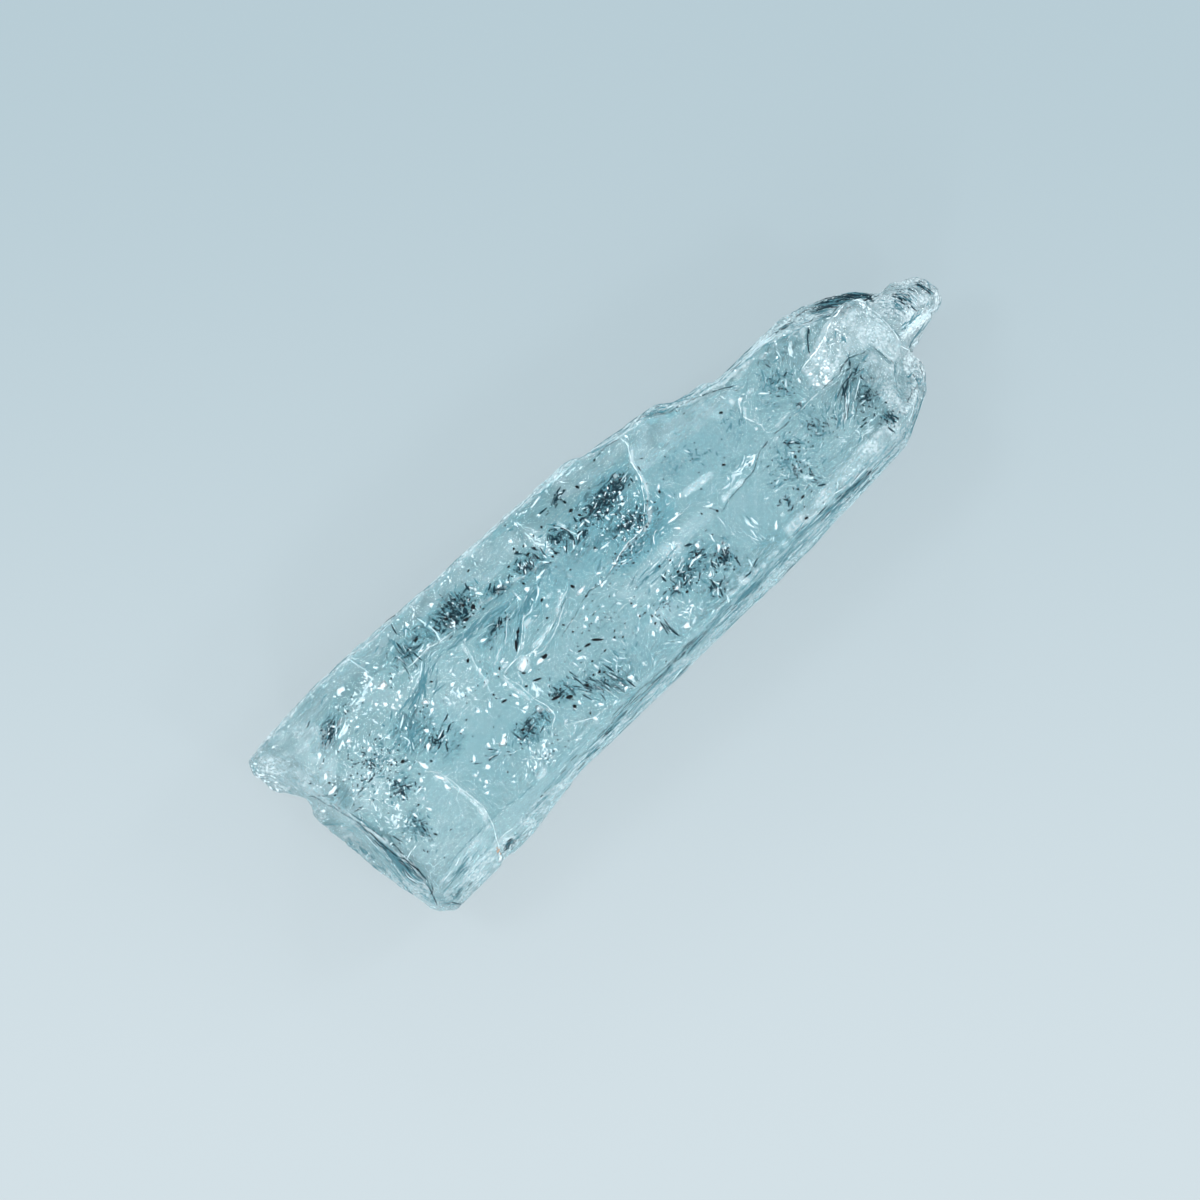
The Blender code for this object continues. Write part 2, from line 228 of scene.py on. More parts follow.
crystalLook = {
    "voxel": 0.185,  # mesh cell, mm
    "smoothing": 3,
    # healed cracks that show white: step up on the left side, then the crack's points
    "paleCracks": [
        (0.22, [(5.5, 5.8), (5.3, 4.8), (4.9, 4.4), (4.6, 3.2), (4, 2.1), (3, 1.1), (1.8, 0.5), (0.6, 0.7),
            (-0.1, 0.5), (-1.1, 0.3)]),
        (0.14, [(-8.9, -0.1), (-7.2, 0.1), (-5.8, 0.5), (-4.8, 1.1), (-4.1, 1.2)]),
        (0.08, [(-8.6, -0.5), (-6.9, -0.3), (-5.4, 0.1), (-4.6, 0.7), (-4.1, 1.1)]),
        (-0.16, [(-9.9, 0.3), (-11.3, 0.4), (-11.2, -0.4), (-11.1, -1.1), (-11, -2.8), (-10.6, -3.6),
            (-10.7, -4.3)]),
        (-0.12, [(-11.4, 4.1), (-12, 2.3), (-12.2, 1), (-12.7, -0.2)]),
        (0.16, [(-7.2, 2.1), (-8.4, 1.5), (-9.7, 0.6)]),
        (0.1, [(-16, 5.2), (-12.6, 4.8), (-9.2, 4.5), (-6.5, 4.1), (-3.1, 3.5), (0.3, 3.3)]),
        (0.16, [(12.9, 2.1), (12.4, 1.1), (12.7, 0.1), (12.6, -0.5)]),
        (-0.2, [(-19.4, -0.4), (-18.9, -1.8), (-18.6, -4.1), (-18.6, -5.2), (-19.1, -6.5), (-19.8, -7.5),
            (-20.1, -8.4)]),
        (0.1, [(17.4, 0.7), (19.3, 0.8), (21, 1.3), (22, 1.7), (22.9, 1.8), (23.4, 1.4), (23.7, 0.7)]),
    ],
    # open cracks and sharp steps that show dark
    "darkCracks": [
        (0.1, [(-3.1, 0.1), (-4.5, -0.1), (-6.2, -0.6), (-6.9, -0.7)]),
        (0.1, [(6.7, -2.4), (8.4, -2.1), (9.8, -2), (10.8, -1.6), (12.2, -1.2)]),
        (0.1, [(13, -1.2), (14.7, -1.2), (17.3, -1.3)]),
        (0.24, [(7.8, 6.1), (9.5, 5), (11.5, 4.2), (13.2, 3.5), (15.6, 3.7), (17.3, 3.3), (19.7, 2.6)]),
        (0.16, [(18.5, 0.9), (19.2, 1.8), (19.7, 2.5)]),
        (-0.3, [(-26.2, 3.5), (-25.6, 1.1), (-25, -0.6), (-24.6, -2.2), (-24.6, -3.8), (-24.6, -5.2),
            (-25.1, -6.9), (-25.8, -7.8)]),
        (0.16, [(21.9, -1.6), (22, -2.8), (22.1, -3.7), (21.5, -4.5)]),
        (0.14, [(16.9, -4), (18, -3.4), (19.3, -2.7)]),
        (0.12, [(17.2, -4.3), (18.4, -3.6), (19.6, -2.9)]),
    ],
    # broken, pitted places that sparkle dark, their darkness partly painted shade: along, across, half
    # sizes, turn, strength
    "roughPatches": [
        (-22.5, 5.7, 1.3, 0.8, 20, 1), (-14.3, 5.9, 1.8, 0.9, 0, 0.8), (-10.7, 5.7, 2.1, 1.1, 0, 0.85),
        (-7.9, 4.6, 1.3, 0.6, -10, 0.75), (-4.8, 4.1, 1.4, 0.9, 0, 0.9), (-2, 4.1, 1, 0.9, 0, 1),
        (1.6, 3.9, 2.4, 1, 5, 1), (2, 1.7, 2.1, 1.3, -10, 0.95), (-1, 2.6, 3.2, 1.1, 0, 0.45),
        (-9.6, 2.9, 1.8, 0.7, 0, 0.75), (-12.8, -3.3, 1.1, 0.8, 0, 0.85), (-11.3, -3.5, 0.6, 0.6, 0, 0.9),
        (-9.2, -3.4, 1, 0.9, -30, 0.9), (-6.3, -5, 1.7, 1.3, -20, 0.4), (2.7, -3.4, 2, 0.9, 8, 0.7),
        (4.6, -4.3, 1.1, 0.9, 0, 0.6), (2.9, -5.6, 1.2, 0.6, -10, 0.5), (12.3, -3.6, 1.8, 2.3, 0, 0.2),
        (15.2, -2, 1.2, 1.6, 0, 0.35), (14.8, 0.5, 1.6, 1.1, -20, 0.4), (19.4, -3.4, 1.2, 1.4, 0, 0.6),
        (19.2, -5.8, 0.9, 0.7, 0, 0.5), (-18.3, 1.8, 1.5, 1.5, 40, 0.7), (-16.9, -0.6, 1.2, 0.6, 10, 0.7),
        (-21.4, -0.2, 0.9, 0.8, 0, 0.7), (-22.7, -2.7, 0.9, 1.4, 0, 0.6), (-25.2, 2.4, 1, 1, 0, 0.5),
        (6.7, 2, 1.1, 0.9, 0, 0.5), (11.3, 0.6, 0.7, 0.7, 0, 0.45), (17.4, 2.6, 1.5, 0.5, -15, 0.6),
        (22.7, 1.8, 2.2, 0.7, -25, 1), (9.6, -0.9, 1.2, 0.5, 0, 0.35),
    ],
    # granular, etched places that look white
    "frostPatches": [
        (18.3, -0.4, 1.3, 1, 0, 0.4), (21.2, 0.5, 2.8, 1.3, 10, 0.45), (23.2, -2, 0.9, 3.3, 0, 0.5),
        (25.4, -2.4, 2.4, 0.8, 0, 0.55), (25.6, -0.4, 2, 1.2, -10, 0.25), (-27.3, 7, 1, 1.6, 0, 0.6),
        (-22.4, -4.6, 3.4, 4.2, 0, 0.15), (-14.7, 1.9, 1.8, 2.2, 0, 0.12), (-12.6, -5.5, 1.7, 1, 0, 0.1),
        (0, -5.7, 1.2, 0.9, 0, 0.1), (2.7, -1.7, 1.1, 0.5, 0, 0.4), (19, 2.9, 2, 0.5, -12, 0.65),
        (-16.5, 4, 3, 0.8, 0, 0.15), (-20.8, 5.4, 1.2, 0.4, 20, 0.2), (-18.2, 5.2, 0.9, 1.2, 0, 0.2),
        (-23, 1.5, 2.8, 1.5, 0, 0.25), (-3.2, 5, 0.6, 1.4, 0, 0.4), (12.6, 4, 1.5, 0.5, 0, 0.5),
        (3, 7.4, 3, 0.5, -8, 0.5), (-26.4, 2.7, 0.6, 0.6, 0, 0.6), (-9.9, -0.2, 0.5, 0.4, 30, 0.8),
        (-0.9, -4.6, 1.4, 0.6, 0, 0.3), (7.2, 0.1, 1.3, 0.3, -10, 0.5),
    ],
    # painted shade: places drawn deeper in tone, where facets pass or reflect less light
    "shadePatches": [
        (1.6, 2.6, 3.4, 2, 0, 0.9), (-11.5, 5.6, 4, 1.2, 0, 0.3), (-5.5, 2.6, 5, 1.4, 15, 0.6),
        (-5.5, -4.9, 2.4, 1.6, -10, 0.3), (2.6, -3.6, 2.6, 1.8, 0, 0.4), (-13, -3.4, 2.2, 1.4, 0, 0.5),
        (-17.6, 0.6, 2.4, 1.8, 30, 0.6), (8.6, 1.8, 1.4, 1.2, 0, 0.25), (12.6, -3.6, 2, 2.4, 0, 0.15),
        (18.9, -3.9, 1.2, 1.8, 0, 0.1), (25.8, -0.9, 1.6, 0.9, -8, 0.5), (22.9, 1.8, 2.4, 0.8, -25, 0.9),
        (26.3, -1, 1.4, 0.9, 0, 0.7), (-1.4, -4.2, 2.6, 1, 0, 0.45), (-9, 2.2, 2.6, 1.2, 20, 0.5),
        (-13, -5.9, 1.6, 0.8, 0, 0.4), (-20.3, -2.6, 1, 1.6, 0, 0.3), (15.2, 0.4, 2.4, 1.4, 0, 0.25),
    ],
    # whole faces with a frosted skin, the faint ones partly painted light that lifts darker faces: strength,
    # outline
    "frostAndLightRegions": [
        (0.2, [(-27, 8.3), (-23.5, 8.6), (-22, 5.5), (-24.5, 3), (-25.5, 1.4), (-26.7, 3.4)]),
        (0.12, [(-28, 9), (-6, 8.4), (-6, 6.8), (-16, 7.2), (-24, 7.4)]),
        (0.12, [(0, 7.4), (5, 6.9), (9, 5.6), (9, 4.6), (5.5, 5), (0, 5.6)]),
        (0.12, [(-13, 7.2), (-4, 7), (-4, 5.4), (-8.5, 5.4), (-9, 6.6), (-13, 6.8)]),
        (0.12, [(4, 3.3), (5.6, 5.3), (9, 4.6), (13.4, 2.9), (12.6, 1.8), (8, 3)]),
        (0.25, [(-27.3, 2), (-26, 0.6), (-26.2, -4), (-26.5, -7.6), (-27.4, -6)]),
        (0.28, [(9, -6.2), (17, -5.8), (20.5, -5.9), (21.5, -6.6), (18, -7.9), (9, -8)]),
        (0.3, [(19.9, -5), (22, -4.6), (23.7, -4.6), (23.4, -6), (21, -7.2), (19.2, -7.2)]),
        (0.36, [(-24, -7.4), (9, -7.5), (9, -8.8), (-24, -8.9)]),
        (0.3, [(17.5, 0.6), (19.65, 0.95), (21.15, 1.5), (21.75, 1.65), (22.7, 1.75), (23.4, 1.35),
            (23.85, 0.75), (23.85, -0.75), (23.75, -2.1), (23.5, -3), (23.75, -4.7), (23.05, -4.85),
            (22.6, -3.8), (22.2, -2.45), (21.9, -1.45), (21, -1.3), (20.3, -0.95), (19.5, -0.95),
            (19, -1.2), (17.5, -1.2), (17.35, -0.4)]),
        (0.5, [(22.4, -4.2), (23.75, -3.2), (23.75, -4.8), (23.4, -5.8), (22.4, -6.5), (21.2, -6.8),
            (20.3, -6.5), (21.6, -5.9), (22.3, -5.3)]),
        (0.36, [(23.9, 1), (25.6, 0.7), (26.6, 0.1), (27.6, -0.3), (28.2, -1.6), (27.8, -2.6), (26.2, -3.2),
            (24, -3.8)]),
        (0.28, [(20, -2.4), (21.6, -1.7), (22, -3.7), (21.2, -4.8), (20.2, -5.6), (19.9, -4)]),
        (0.75, [(23.9, -2.5), (25.5, -2.3), (27, -2.6), (27.9, -1.9), (27.5, -3), (26, -3.4), (24, -3.9)]),
        (0.4, [(13.6, 3.9), (15.5, 4.25), (18.8, 4.2), (20.7, 3.6), (21.6, 3), (20.6, 2.7), (18.9, 3),
            (17.3, 3.5), (15.5, 3.4), (14, 3.2)]),
        (0.42, [(-28.1, 8.6), (-26.9, 8.4), (-27, 6.3), (-26.7, 5), (-27.6, 5), (-28.2, 6.5)]),
        (0.05, [(-19.6, -0.9), (-18.9, -1.9), (-18.6, -4.2), (-18.7, -5.8), (-20.8, -6), (-21.2, -3),
            (-20.6, -1.6)]),
        (0.25, [(-24.9, -7), (-22.9, -6.2), (-18.8, -6.1), (-18.8, -6.8), (-19.7, -7.7), (-20.5, -8.7),
            (-25, -8.7)]),
        (0.12, [(-2.4, -1.2), (3.7, -0.8), (7, -1.4), (6.6, -2.2), (3.7, -2.2), (-1, -3)]),
    ],
    # painted shade over whole faces, drawn deeper where they pass or reflect less light: strength, outline
    "shadeRegions": [
        (0.16, [(-13.5, 1), (-8, 4.6), (6, 5), (14, 2.6), (16, -3), (12, -6.4), (-9, -6.2), (-13.5, -3)]),
        (1, [(-1.6, 0.3), (0.4, 1.1), (3, 1.5), (4.8, 1.8), (5.2, 0), (3.4, -0.9), (0.4, -1)]),
        (0.2, [(5.7, -2.5), (10.4, -2), (10.5, -6.6), (5.9, -6.7)]),
        (0.22, [(-25.9, 0.8), (-25.2, 0), (-24.7, -2), (-24.6, -4), (-24.7, -5.2), (-25.2, -6.9),
            (-25.8, -7.7), (-25.9, -6), (-25.9, -3)]),
        (0.35, [(-14, 0.8), (-9, 3.6), (-6, 3.4), (-4, 2.2), (-6, 0.8), (-10, 0.6)]),
        (0.3, [(5.5, 5.6), (8.5, 5.6), (13.5, 3), (12.6, 0), (10.5, -1.6), (7, -1.6), (4.5, -0.8),
            (3.6, 0.9), (4.9, 3.8)]),
        (0.6, [(-10, 3.3), (-6, 4.2), (0, 4.6), (3.7, 4.4), (4.2, 2.6), (2.6, 0.9), (-1, 0.6), (-4, 1.2),
            (-7.5, 1.4), (-9.5, 1.2)]),
        (0.35, [(-14, -2.9), (-8, -3.2), (-3, -3.8), (1, -2.8), (4.5, -2.6), (5.6, -4.5), (5.5, -6.6),
            (-1, -6.6), (-7, -6.2), (-11, -4.4), (-14, -4.2)]),
        (0.1, [(-16.6, 6.7), (-9.3, 6.6), (-8.8, 4.8), (-16.2, 4.9)]),
        (0.6, [(-10.4, 3.4), (-6.4, 3.2), (-6.2, 1.4), (-9.8, 1.2)]),
        (0.3, [(-18.3, -1), (-12.5, -0.2), (-12.2, -4.8), (-18.2, -5.6)]),
        (0.9, [(20.9, 2.9), (22.3, 2.9), (23.8, 2), (25.2, 0.6), (24, 0.8), (23.4, 1.5), (22.4, 1.8),
            (21.6, 1.7)]),
    ],
    # smooth places with hardly a mark
    "clearPatches": [
        (-15, -2, 3.4, 1.6, 0, 0.8), (8.1, -4.5, 2.2, 2.2, 0, 1), (8.4, 2.2, 4.6, 3.6, -20, 1),
        (22, -3.6, 0.8, 1.6, 0, 1), (-25.4, 6, 1.6, 2.2, 0, 1), (-5.5, 6.4, 3, 0.9, 0, 0.5),
        (-7, -1.4, 3, 0.8, 0, 0.6), (-2.5, -0.9, 2.5, 1, 0, 0.5), (17, -4.9, 1.6, 1.2, 0, 0.8),
        (18, -2.2, 0.9, 0.6, 0, 0.8), (25.9, -1.2, 2.8, 2.4, 0, 0.9), (19.5, 1.5, 0.9, 0.7, 0, 0.8),
        (-21, -7.2, 2.4, 0.8, 0, 0.5),
    ],
    "frostRim": 0.18, "shadeRim": 0.5,  # how soft the outlines' rims are, mm
    "tipStart": 20.5, "fingerStart": 23.9, "ringPlace": 26.62,  # along the crystal
    "restingHeight": 0.6,  # the relief fades out below this, so that the underside stays flat
    "headroom": 0.05,  # room for the flecks on top
    # heights in mm of each kind of relief
    "relief": {
        "swell": 0.42, "terrace": 0.09, "groove": 0.16, "fineGroove": 0.06, "brokenEnd": 0.22,
        "hackly": 0.42, "frost": 0.4, "fingerRing": 0.14, "pit": 0.07, "ridge": 0.16,
    },
    "tint": (0.93, 1, 1, 1), "darkTint": (0.01, 0.075, 0.11, 1), "shadeTint": (0.44, 0.78, 0.86, 1),
    "frostColour": (0.76, 0.855, 0.885, 1), "absorbColour": (0.2, 0.86, 0.92, 1), "absorbDensity": 42.0,
    "refraction": 1.577, "polish": 0.03,
}


def fineCopy(look):
    # An even, fine mesh over the solid, worked on in millimetres.
    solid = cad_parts["aquamarine_crystal"]
    mesh = solid.data.copy()
    mesh.name = "crystalSurface"
    mesh.transform(Matrix.Scale(1000, 4))
    piece = bpy.data.objects.new("crystalSurface", mesh)
    bpy.context.scene.collection.objects.link(piece)
    remesh = piece.modifiers.new("evenMesh", "REMESH")
    remesh.mode = "VOXEL"
    remesh.voxel_size = look["voxel"]
    remesh.use_smooth_shade = True
    graph = bpy.context.evaluated_depsgraph_get()
    fine = bpy.data.meshes.new_from_object(piece.evaluated_get(graph))
    piece.modifiers.clear()
    piece.data = fine
    return piece


def readPoints(mesh):
    points = np.empty(len(mesh.vertices) * 3)
    mesh.vertices.foreach_get("co", points)
    return points.reshape(-1, 3)


def readNormals(mesh):
    normals = np.empty(len(mesh.vertices) * 3, dtype=np.float32)
    mesh.vertex_normals.foreach_get("vector", normals)
    return normals.reshape(-1, 3).astype(float)


def edgeEnds(mesh):
    ends = np.empty(len(mesh.edges) * 2, dtype=np.int32)
    mesh.edges.foreach_get("vertices", ends)
    return ends.reshape(-1, 2)


def spread(values, ends, rounds):
    # Each value averaged with its neighbours' along the mesh's edges.
    count = np.bincount(ends.ravel(), minlength=len(values)).astype(float)
    for _ in range(rounds):
        wide = values if values.ndim > 1 else values[:, None]
        total = np.zeros_like(wide)
        for column in range(wide.shape[1]):
            total[:, column] = (np.bincount(ends[:, 0], wide[ends[:, 1], column], len(wide))
                                + np.bincount(ends[:, 1], wide[ends[:, 0], column], len(wide)))
        mean = (wide + total) / (1 + count)[:, None]
        values = mean if values.ndim > 1 else mean[:, 0]
    return values


def rise(values, start, width):
    return np.clip((values - start) / width, 0, 1)


def fall(values, end, width):
    return np.clip((end - values) / width, 0, 1)


def markFaces(points, normals, ends, look):
    # The masks that the relief and the finish take, each from 0 to 1.
    up = normals[:, 2]
    top = rise(up, 0.35, 0.3)
    flat = points * np.array([1, 1, 0.35])
    places = wavering(points, 1.1, (71, 73), 2, 0.35)
    rough = patchShare(flat, look["roughPatches"], 11) * top
    frost = patchShare(flat, look["frostPatches"], 17) * np.clip(top + 0.2, 0, 1) * 0.55
    # the back faces and the tip get a frosted skin too; on the back faces it is partly painted light that
    # lifts the dark band seen through them
    behind = rise(normals[:, 1], 0.35, 0.3) * fall(up, 0.6, 0.3)
    atTip = rise(points[:, 0], look["tipStart"], 1.5) * fall(up, 0.8, 0.3)
    coat = 0.35 + 0.65 * layeredNoise(points, 1.6, 53, 3)
    frost = np.maximum(frost, np.maximum(behind * 0.75, atTip * 0.7) * coat) * (1 - 0.8 * rough)
    # frosted skin over whole faces; the faint ones are partly painted light
    for strength, outline in look["frostAndLightRegions"]:
        skin = outlineShare(places, outline, look["frostRim"]) * strength
        frost = np.maximum(frost, skin * np.clip(top + 0.5, 0, 1))
    clear = patchShare(flat, look["clearPatches"], 41) * top
    # painted shade: the shade patches and faces, and the broken places, drawn deeper in tone
    shade = spread(patchShare(flat, look["shadePatches"], 59), ends, 4)
    for strength, outline in look["shadeRegions"]:
        shade = np.maximum(shade, outlineShare(places, outline, look["shadeRim"]) * strength)
    shade = np.maximum(shade, rough * 0.8)
    flow = rise(layeredNoise(points, 4.2, 43, 2), 0.47, 0.06)
    rim = fall(up, 0.62, 0.3) * rise(up, -0.75, 0.3)
    side = fall(up, 0.75, 0.4) * fall(np.abs(normals[:, 0]), 0.85, 0.3)
    return {"rough": rough, "frost": frost, "clear": clear, "flow": flow, "shade": shade, "rim": rim,
            "side": side, "top": top}


def crackRelief(points, look):
    # A step across each crack, with a raised lip on the healed ones and a gap in the open ones.
    places = wavering(points, 0.9, (31, 37), 3, 0.5)
    height = np.zeros(len(points))
    for kind, lip, width in (("paleCracks", 0.05, 0.16), ("darkCracks", -0.07, 0.14)):
        for step, line in look[kind]:
            gap, hand, taper = lineGap(places, line)
            height += taper * step * np.tanh(gap / 0.12) * hand * np.exp(-gap / 1.9) * 1.1
            height += taper * lip * np.exp(-(gap / width) ** 2)
    return height


def carve(points, normals, masks, look):
    # How far each point moves along its normal.
    relief, top, frost, clear = look["relief"], masks["top"], masks["frost"], masks["clear"]
    height = top * crackRelief(points, look)
    swell = layeredNoise(points * np.array([0.8, 1.3, 1]), 3.4, 3, 3) - 0.5
    height += top * swell * relief["swell"]
    climb = layeredNoise(points * np.array([0.55, 1.0, 0.6]), 2.6, 61, 3) * 9
    terrace = np.floor(climb) + rise(climb % 1, 0.78, 0.22)
    height += top * (1 - 0.9 * clear) * (terrace - 4.5) * relief["terrace"]

    # growth grooves along the sides, shell-shaped hollows on the broken ends
    grooves = ridgedNoise(points * np.array([0.07, 1.0, 1.0]), 0.55, 5, 3) - 0.55
    height += masks["side"] * grooves * relief["groove"]
    finer = ridgedNoise(points * np.array([0.12, 1.0, 1.0]), 0.3, 8, 2) - 0.55
    height += masks["side"] * finer * relief["fineGroove"]
    broken = rise(np.abs(normals[:, 0]), 0.5, 0.3)
    height += broken * (ridgedNoise(points, 1.3, 13, 3) - 0.55) * relief["brokenEnd"]
    hackly = ridgedNoise(points * np.array([1.0, 1.5, 1.0]), 0.95, 19, 3) - 0.6
    height += masks["rough"] * hackly * relief["hackly"]
    height += frost * (layeredNoise(points, 0.9, 23, 3) - 0.5) * relief["frost"]

    # the finger is smoother, with a ring round it
    height *= 1 - 0.85 * rise(points[:, 0], look["fingerStart"], 0.4)
    height -= np.exp(-((points[:, 0] - look["ringPlace"]) / 0.17) ** 2) * relief["fingerRing"]
    height -= rise(layeredNoise(points, 0.8, 29, 2), 0.66, 0.1) * relief["pit"] * top
    height += top * (1 - clear) * (ridgedNoise(points, 1.2, 47, 2) - 0.6) * relief["ridge"]
    return height


# the masks that the crystal's material reads
maskNames = ("rough", "frost", "clear", "flow", "crestHighlight", "rim", "side", "shade")


def buildCrystal(look):
    piece = fineCopy(look)
    mesh = piece.data
    ends = edgeEnds(mesh)
    points = spread(readPoints(mesh), ends, look["smoothing"])
    mesh.vertices.foreach_set("co", points.ravel())
    mesh.update()
    normals = readNormals(mesh)
    masks = markFaces(points, normals, ends, look)
    height = carve(points, normals, masks, look)
    resting = np.clip(points[:, 2] / look["restingHeight"], 0, 1)
    low, high = points.min(axis=0), points.max(axis=0) - (0, 0, look["headroom"])
    moved = points + normals * (height * resting)[:, None]
    moved = np.clip(moved, low, high)
    # how far each point bulges out, for the painted highlight along the crests
    bulge = spread(((spread(moved, ends, 3) - moved) * normals).sum(axis=1) * -1, ends, 1)
    masks["crestHighlight"] = np.clip(bulge / 0.05, -1, 1)
    for name in maskNames:
        layer = mesh.attributes.new(name, "FLOAT", "POINT")
        layer.data.foreach_set("value", masks[name].astype(np.float32))
    mesh.vertices.foreach_set("co", (moved * mm).ravel())
    mesh.update()
    print("crystal surface:", sum(len(polygon.vertices) - 2 for polygon in mesh.polygons), "triangles")
    return piece


def crystalMaterial(look):
    material, place = newMaterial("blueGreenBeryl")
    rough, frost, clear, flow, crestHighlight, rim, side, shade = (place.attribute(name) for name in maskNames)

    # strokes of the etched surface: along the crystal on its sides, two ways on top
    alongStroke = place.stretched(0.30, 1.15, 1.15).noise(3.4, 4, 0.66, 0.9)
    acrossStroke = place.stretched(1.25, 0.42, 1.0).noise(3.2, 4, 0.66, 0.9)
    choice = flow * (1 - side)
    stroke = alongStroke * (1 - choice) + acrossStroke * choice
    grain = place.noise(5.2, 2, 0.6)
    cloud = place.noise(0.9, 3, 0.6)

    marked = (1 - clear) * 0.28 + rough * 0.7 + side * 0.30
    darkStroke = (stroke + marked * 0.13).ramp(0.60, 0.65) * (marked * 1.1).least(1.0)
    hairline = (stroke - 0.47).size().ramp(0.024, 0.0) * marked.least(0.8)
    fleck = (grain + frost * 0.16 + rough * 0.04 - clear * 0.12).ramp(0.65, 0.74)

    # fine seams of the broken zones, healed and open
    wander = place.node("ShaderNodeTexNoise", {}, {"Vector": place, "Scale": 1.3}, "Color")
    bent = place.node("ShaderNodeVectorMath", {"operation": "MULTIPLY_ADD"},
                      {0: wander, 1: (0.9, 0.9, 0.9), 2: place})
    broken = (1 - clear) * place.noise(0.8, 2).ramp(0.42, 0.60)
    paleSeam = bent.stretched(0.55, 1.0, 1.0).cracks(1.5, 0.05) * broken * grain.ramp(0.40, 0.60)
    darkSeam = bent.stretched(0.9, 0.7, 1.0).cracks(2.3, 0.06) * grain.ramp(0.58, 0.42)
    darkSeam *= broken + rough * 0.6

    # dark marks over the broken and etched places: partly their etched pattern, partly painted shade
    # standing in for dark glints and refractions
    dark = (darkStroke * (rough * 0.5 + 0.45)).most(darkSeam * 0.32).least(1.0) * (1 - fleck * 0.7)
    # painted shade from the shade mask, with a random cloudy tone, deepens the clear tint
    depth = (shade * 0.9 + cloud.ramp(0.40, 0.68) * 0.22).least(1.0)
    body = depth.tinted(look["tint"], look["shadeTint"])
    tint = dark.tinted(body, look["darkTint"])
    skin = frost * (cloud.ramp(0.34, 0.62) * 0.7 + 0.30) * (grain.ramp(0.35, 0.65) + 0.6)
    white = (fleck * (frost * 0.6 + 0.12)).most(hairline * 0.13)
    white = white.most(skin).most(rim * (grain.ramp(0.35, 0.65) * 0.30 + 0.10))
    # painted highlight along the convex edges, and pale seams
    white = white.most(crestHighlight.ramp(0.3, 1.0) * 0.34).most(paleSeam * 0.2)

    relief = stroke * (rough * 0.9 + 0.36 - clear * 0.26) + grain * (frost * 0.20 + 0.12) * (1 - side * 0.7)
    bump = place.node("ShaderNodeBump", {}, {"Height": relief, "Strength": 1.0, "Distance": 0.00050})

    # clear beryl, and the white skin that covers part of it
    glassy = place.node("ShaderNodeBsdfPrincipled", {}, {
        "Base Color": tint, "Roughness": frost * 0.2 + rough * 0.04 + look["polish"],
        "IOR": look["refraction"], "Transmission Weight": 1.0, "Normal": bump})
    frosted = place.node("ShaderNodeBsdfPrincipled", {}, {
        "Base Color": look["frostColour"], "Roughness": 0.5, "IOR": 1.45, "Normal": bump})
    surface = place.node("ShaderNodeMixShader", {}, {0: white, 1: glassy, 2: frosted})
    volume = place.node("ShaderNodeVolumeAbsorption", {}, {
        "Color": look["absorbColour"], "Density": look["absorbDensity"]})
    finishMaterial(surface, volume)
    return material


crystal = buildCrystal(crystalLook)
crystal.data.materials.clear()
crystal.data.materials.append(crystalMaterial(crystalLook))
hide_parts("aquamarine_crystal")
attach(crystal, "root")
print("crystal dressed")


# Small things in the crystal: fracture slivers, healed cracks, pale flecks and dark grains, in millimetres

def surfaceTree(piece):
    points = (readPoints(piece.data) / mm).tolist()
    return BVHTree.FromPolygons(points, [tuple(polygon.vertices) for polygon in piece.data.polygons])


def lookDown(tree, x, y):
    # The place that a look straight down meets and its normal, both None past the crystal's edge.
    place, normal, _, _ = tree.ray_cast(Vector((x, y, 50)), Vector((0, 0, -1)))
    return place, normal


def spotIn(patch, reach, around):
    # A place in a turned patch: a share of its half sizes, at an angle from its middle.
    x, y, halfAlong, halfAcross, turn = patch
    angle = math.radians(turn)
    along, across = halfAlong * reach * math.cos(around), halfAcross * reach * math.sin(around)
    return (x + along * math.cos(angle) - across * math.sin(angle),
            y + along * math.sin(angle) + across * math.cos(angle))


def walkSurface(tree, place, normal, heading, length, bend, chance, stride=0.22):
    # Places and normals along a short walk over the surface; bend is how crooked it is.
    steps = max(2, round(length / stride))
    rows = [(place, normal)]
    for _ in range(steps):
        heading = (heading - normal * heading.dot(normal)).normalized()
        heading.rotate(Quaternion(normal, chance.gauss(0, bend)))
        place, normal, _, _ = tree.find_nearest(place + heading * (length / steps))
        rows.append((place, normal))
    return rows


def addSliver(shape, rows, width, thickness, depth, chance, taper=0.7):
    # A closed sliver along the rows, narrow at both ends.
    points, faces = shape
    first, last = len(points), len(rows) - 1
    for number, (place, normal) in enumerate(rows):
        ahead = rows[min(number + 1, last)][0] - rows[max(number - 1, 0)][0]
        across = normal.cross(ahead).normalized()
        half = across * (width / 2 * math.sin(math.pi * (number + 0.4) / (last + 0.8)) ** taper)
        half *= chance.uniform(0.5, 1.5)
        middle = place - normal * depth
        thick = normal * thickness / 2
        points += [middle - half, middle + thick, middle + half, middle - thick]
    for number in range(last):
        for corner in range(4):
            near = first + number * 4 + corner
            beside = first + number * 4 + (corner + 1) % 4
            faces.append((near, beside, beside + 4, near + 4))
    faces.append((first + 3, first + 2, first + 1, first))
    faces.append(tuple(first + last * 4 + corner for corner in range(4)))


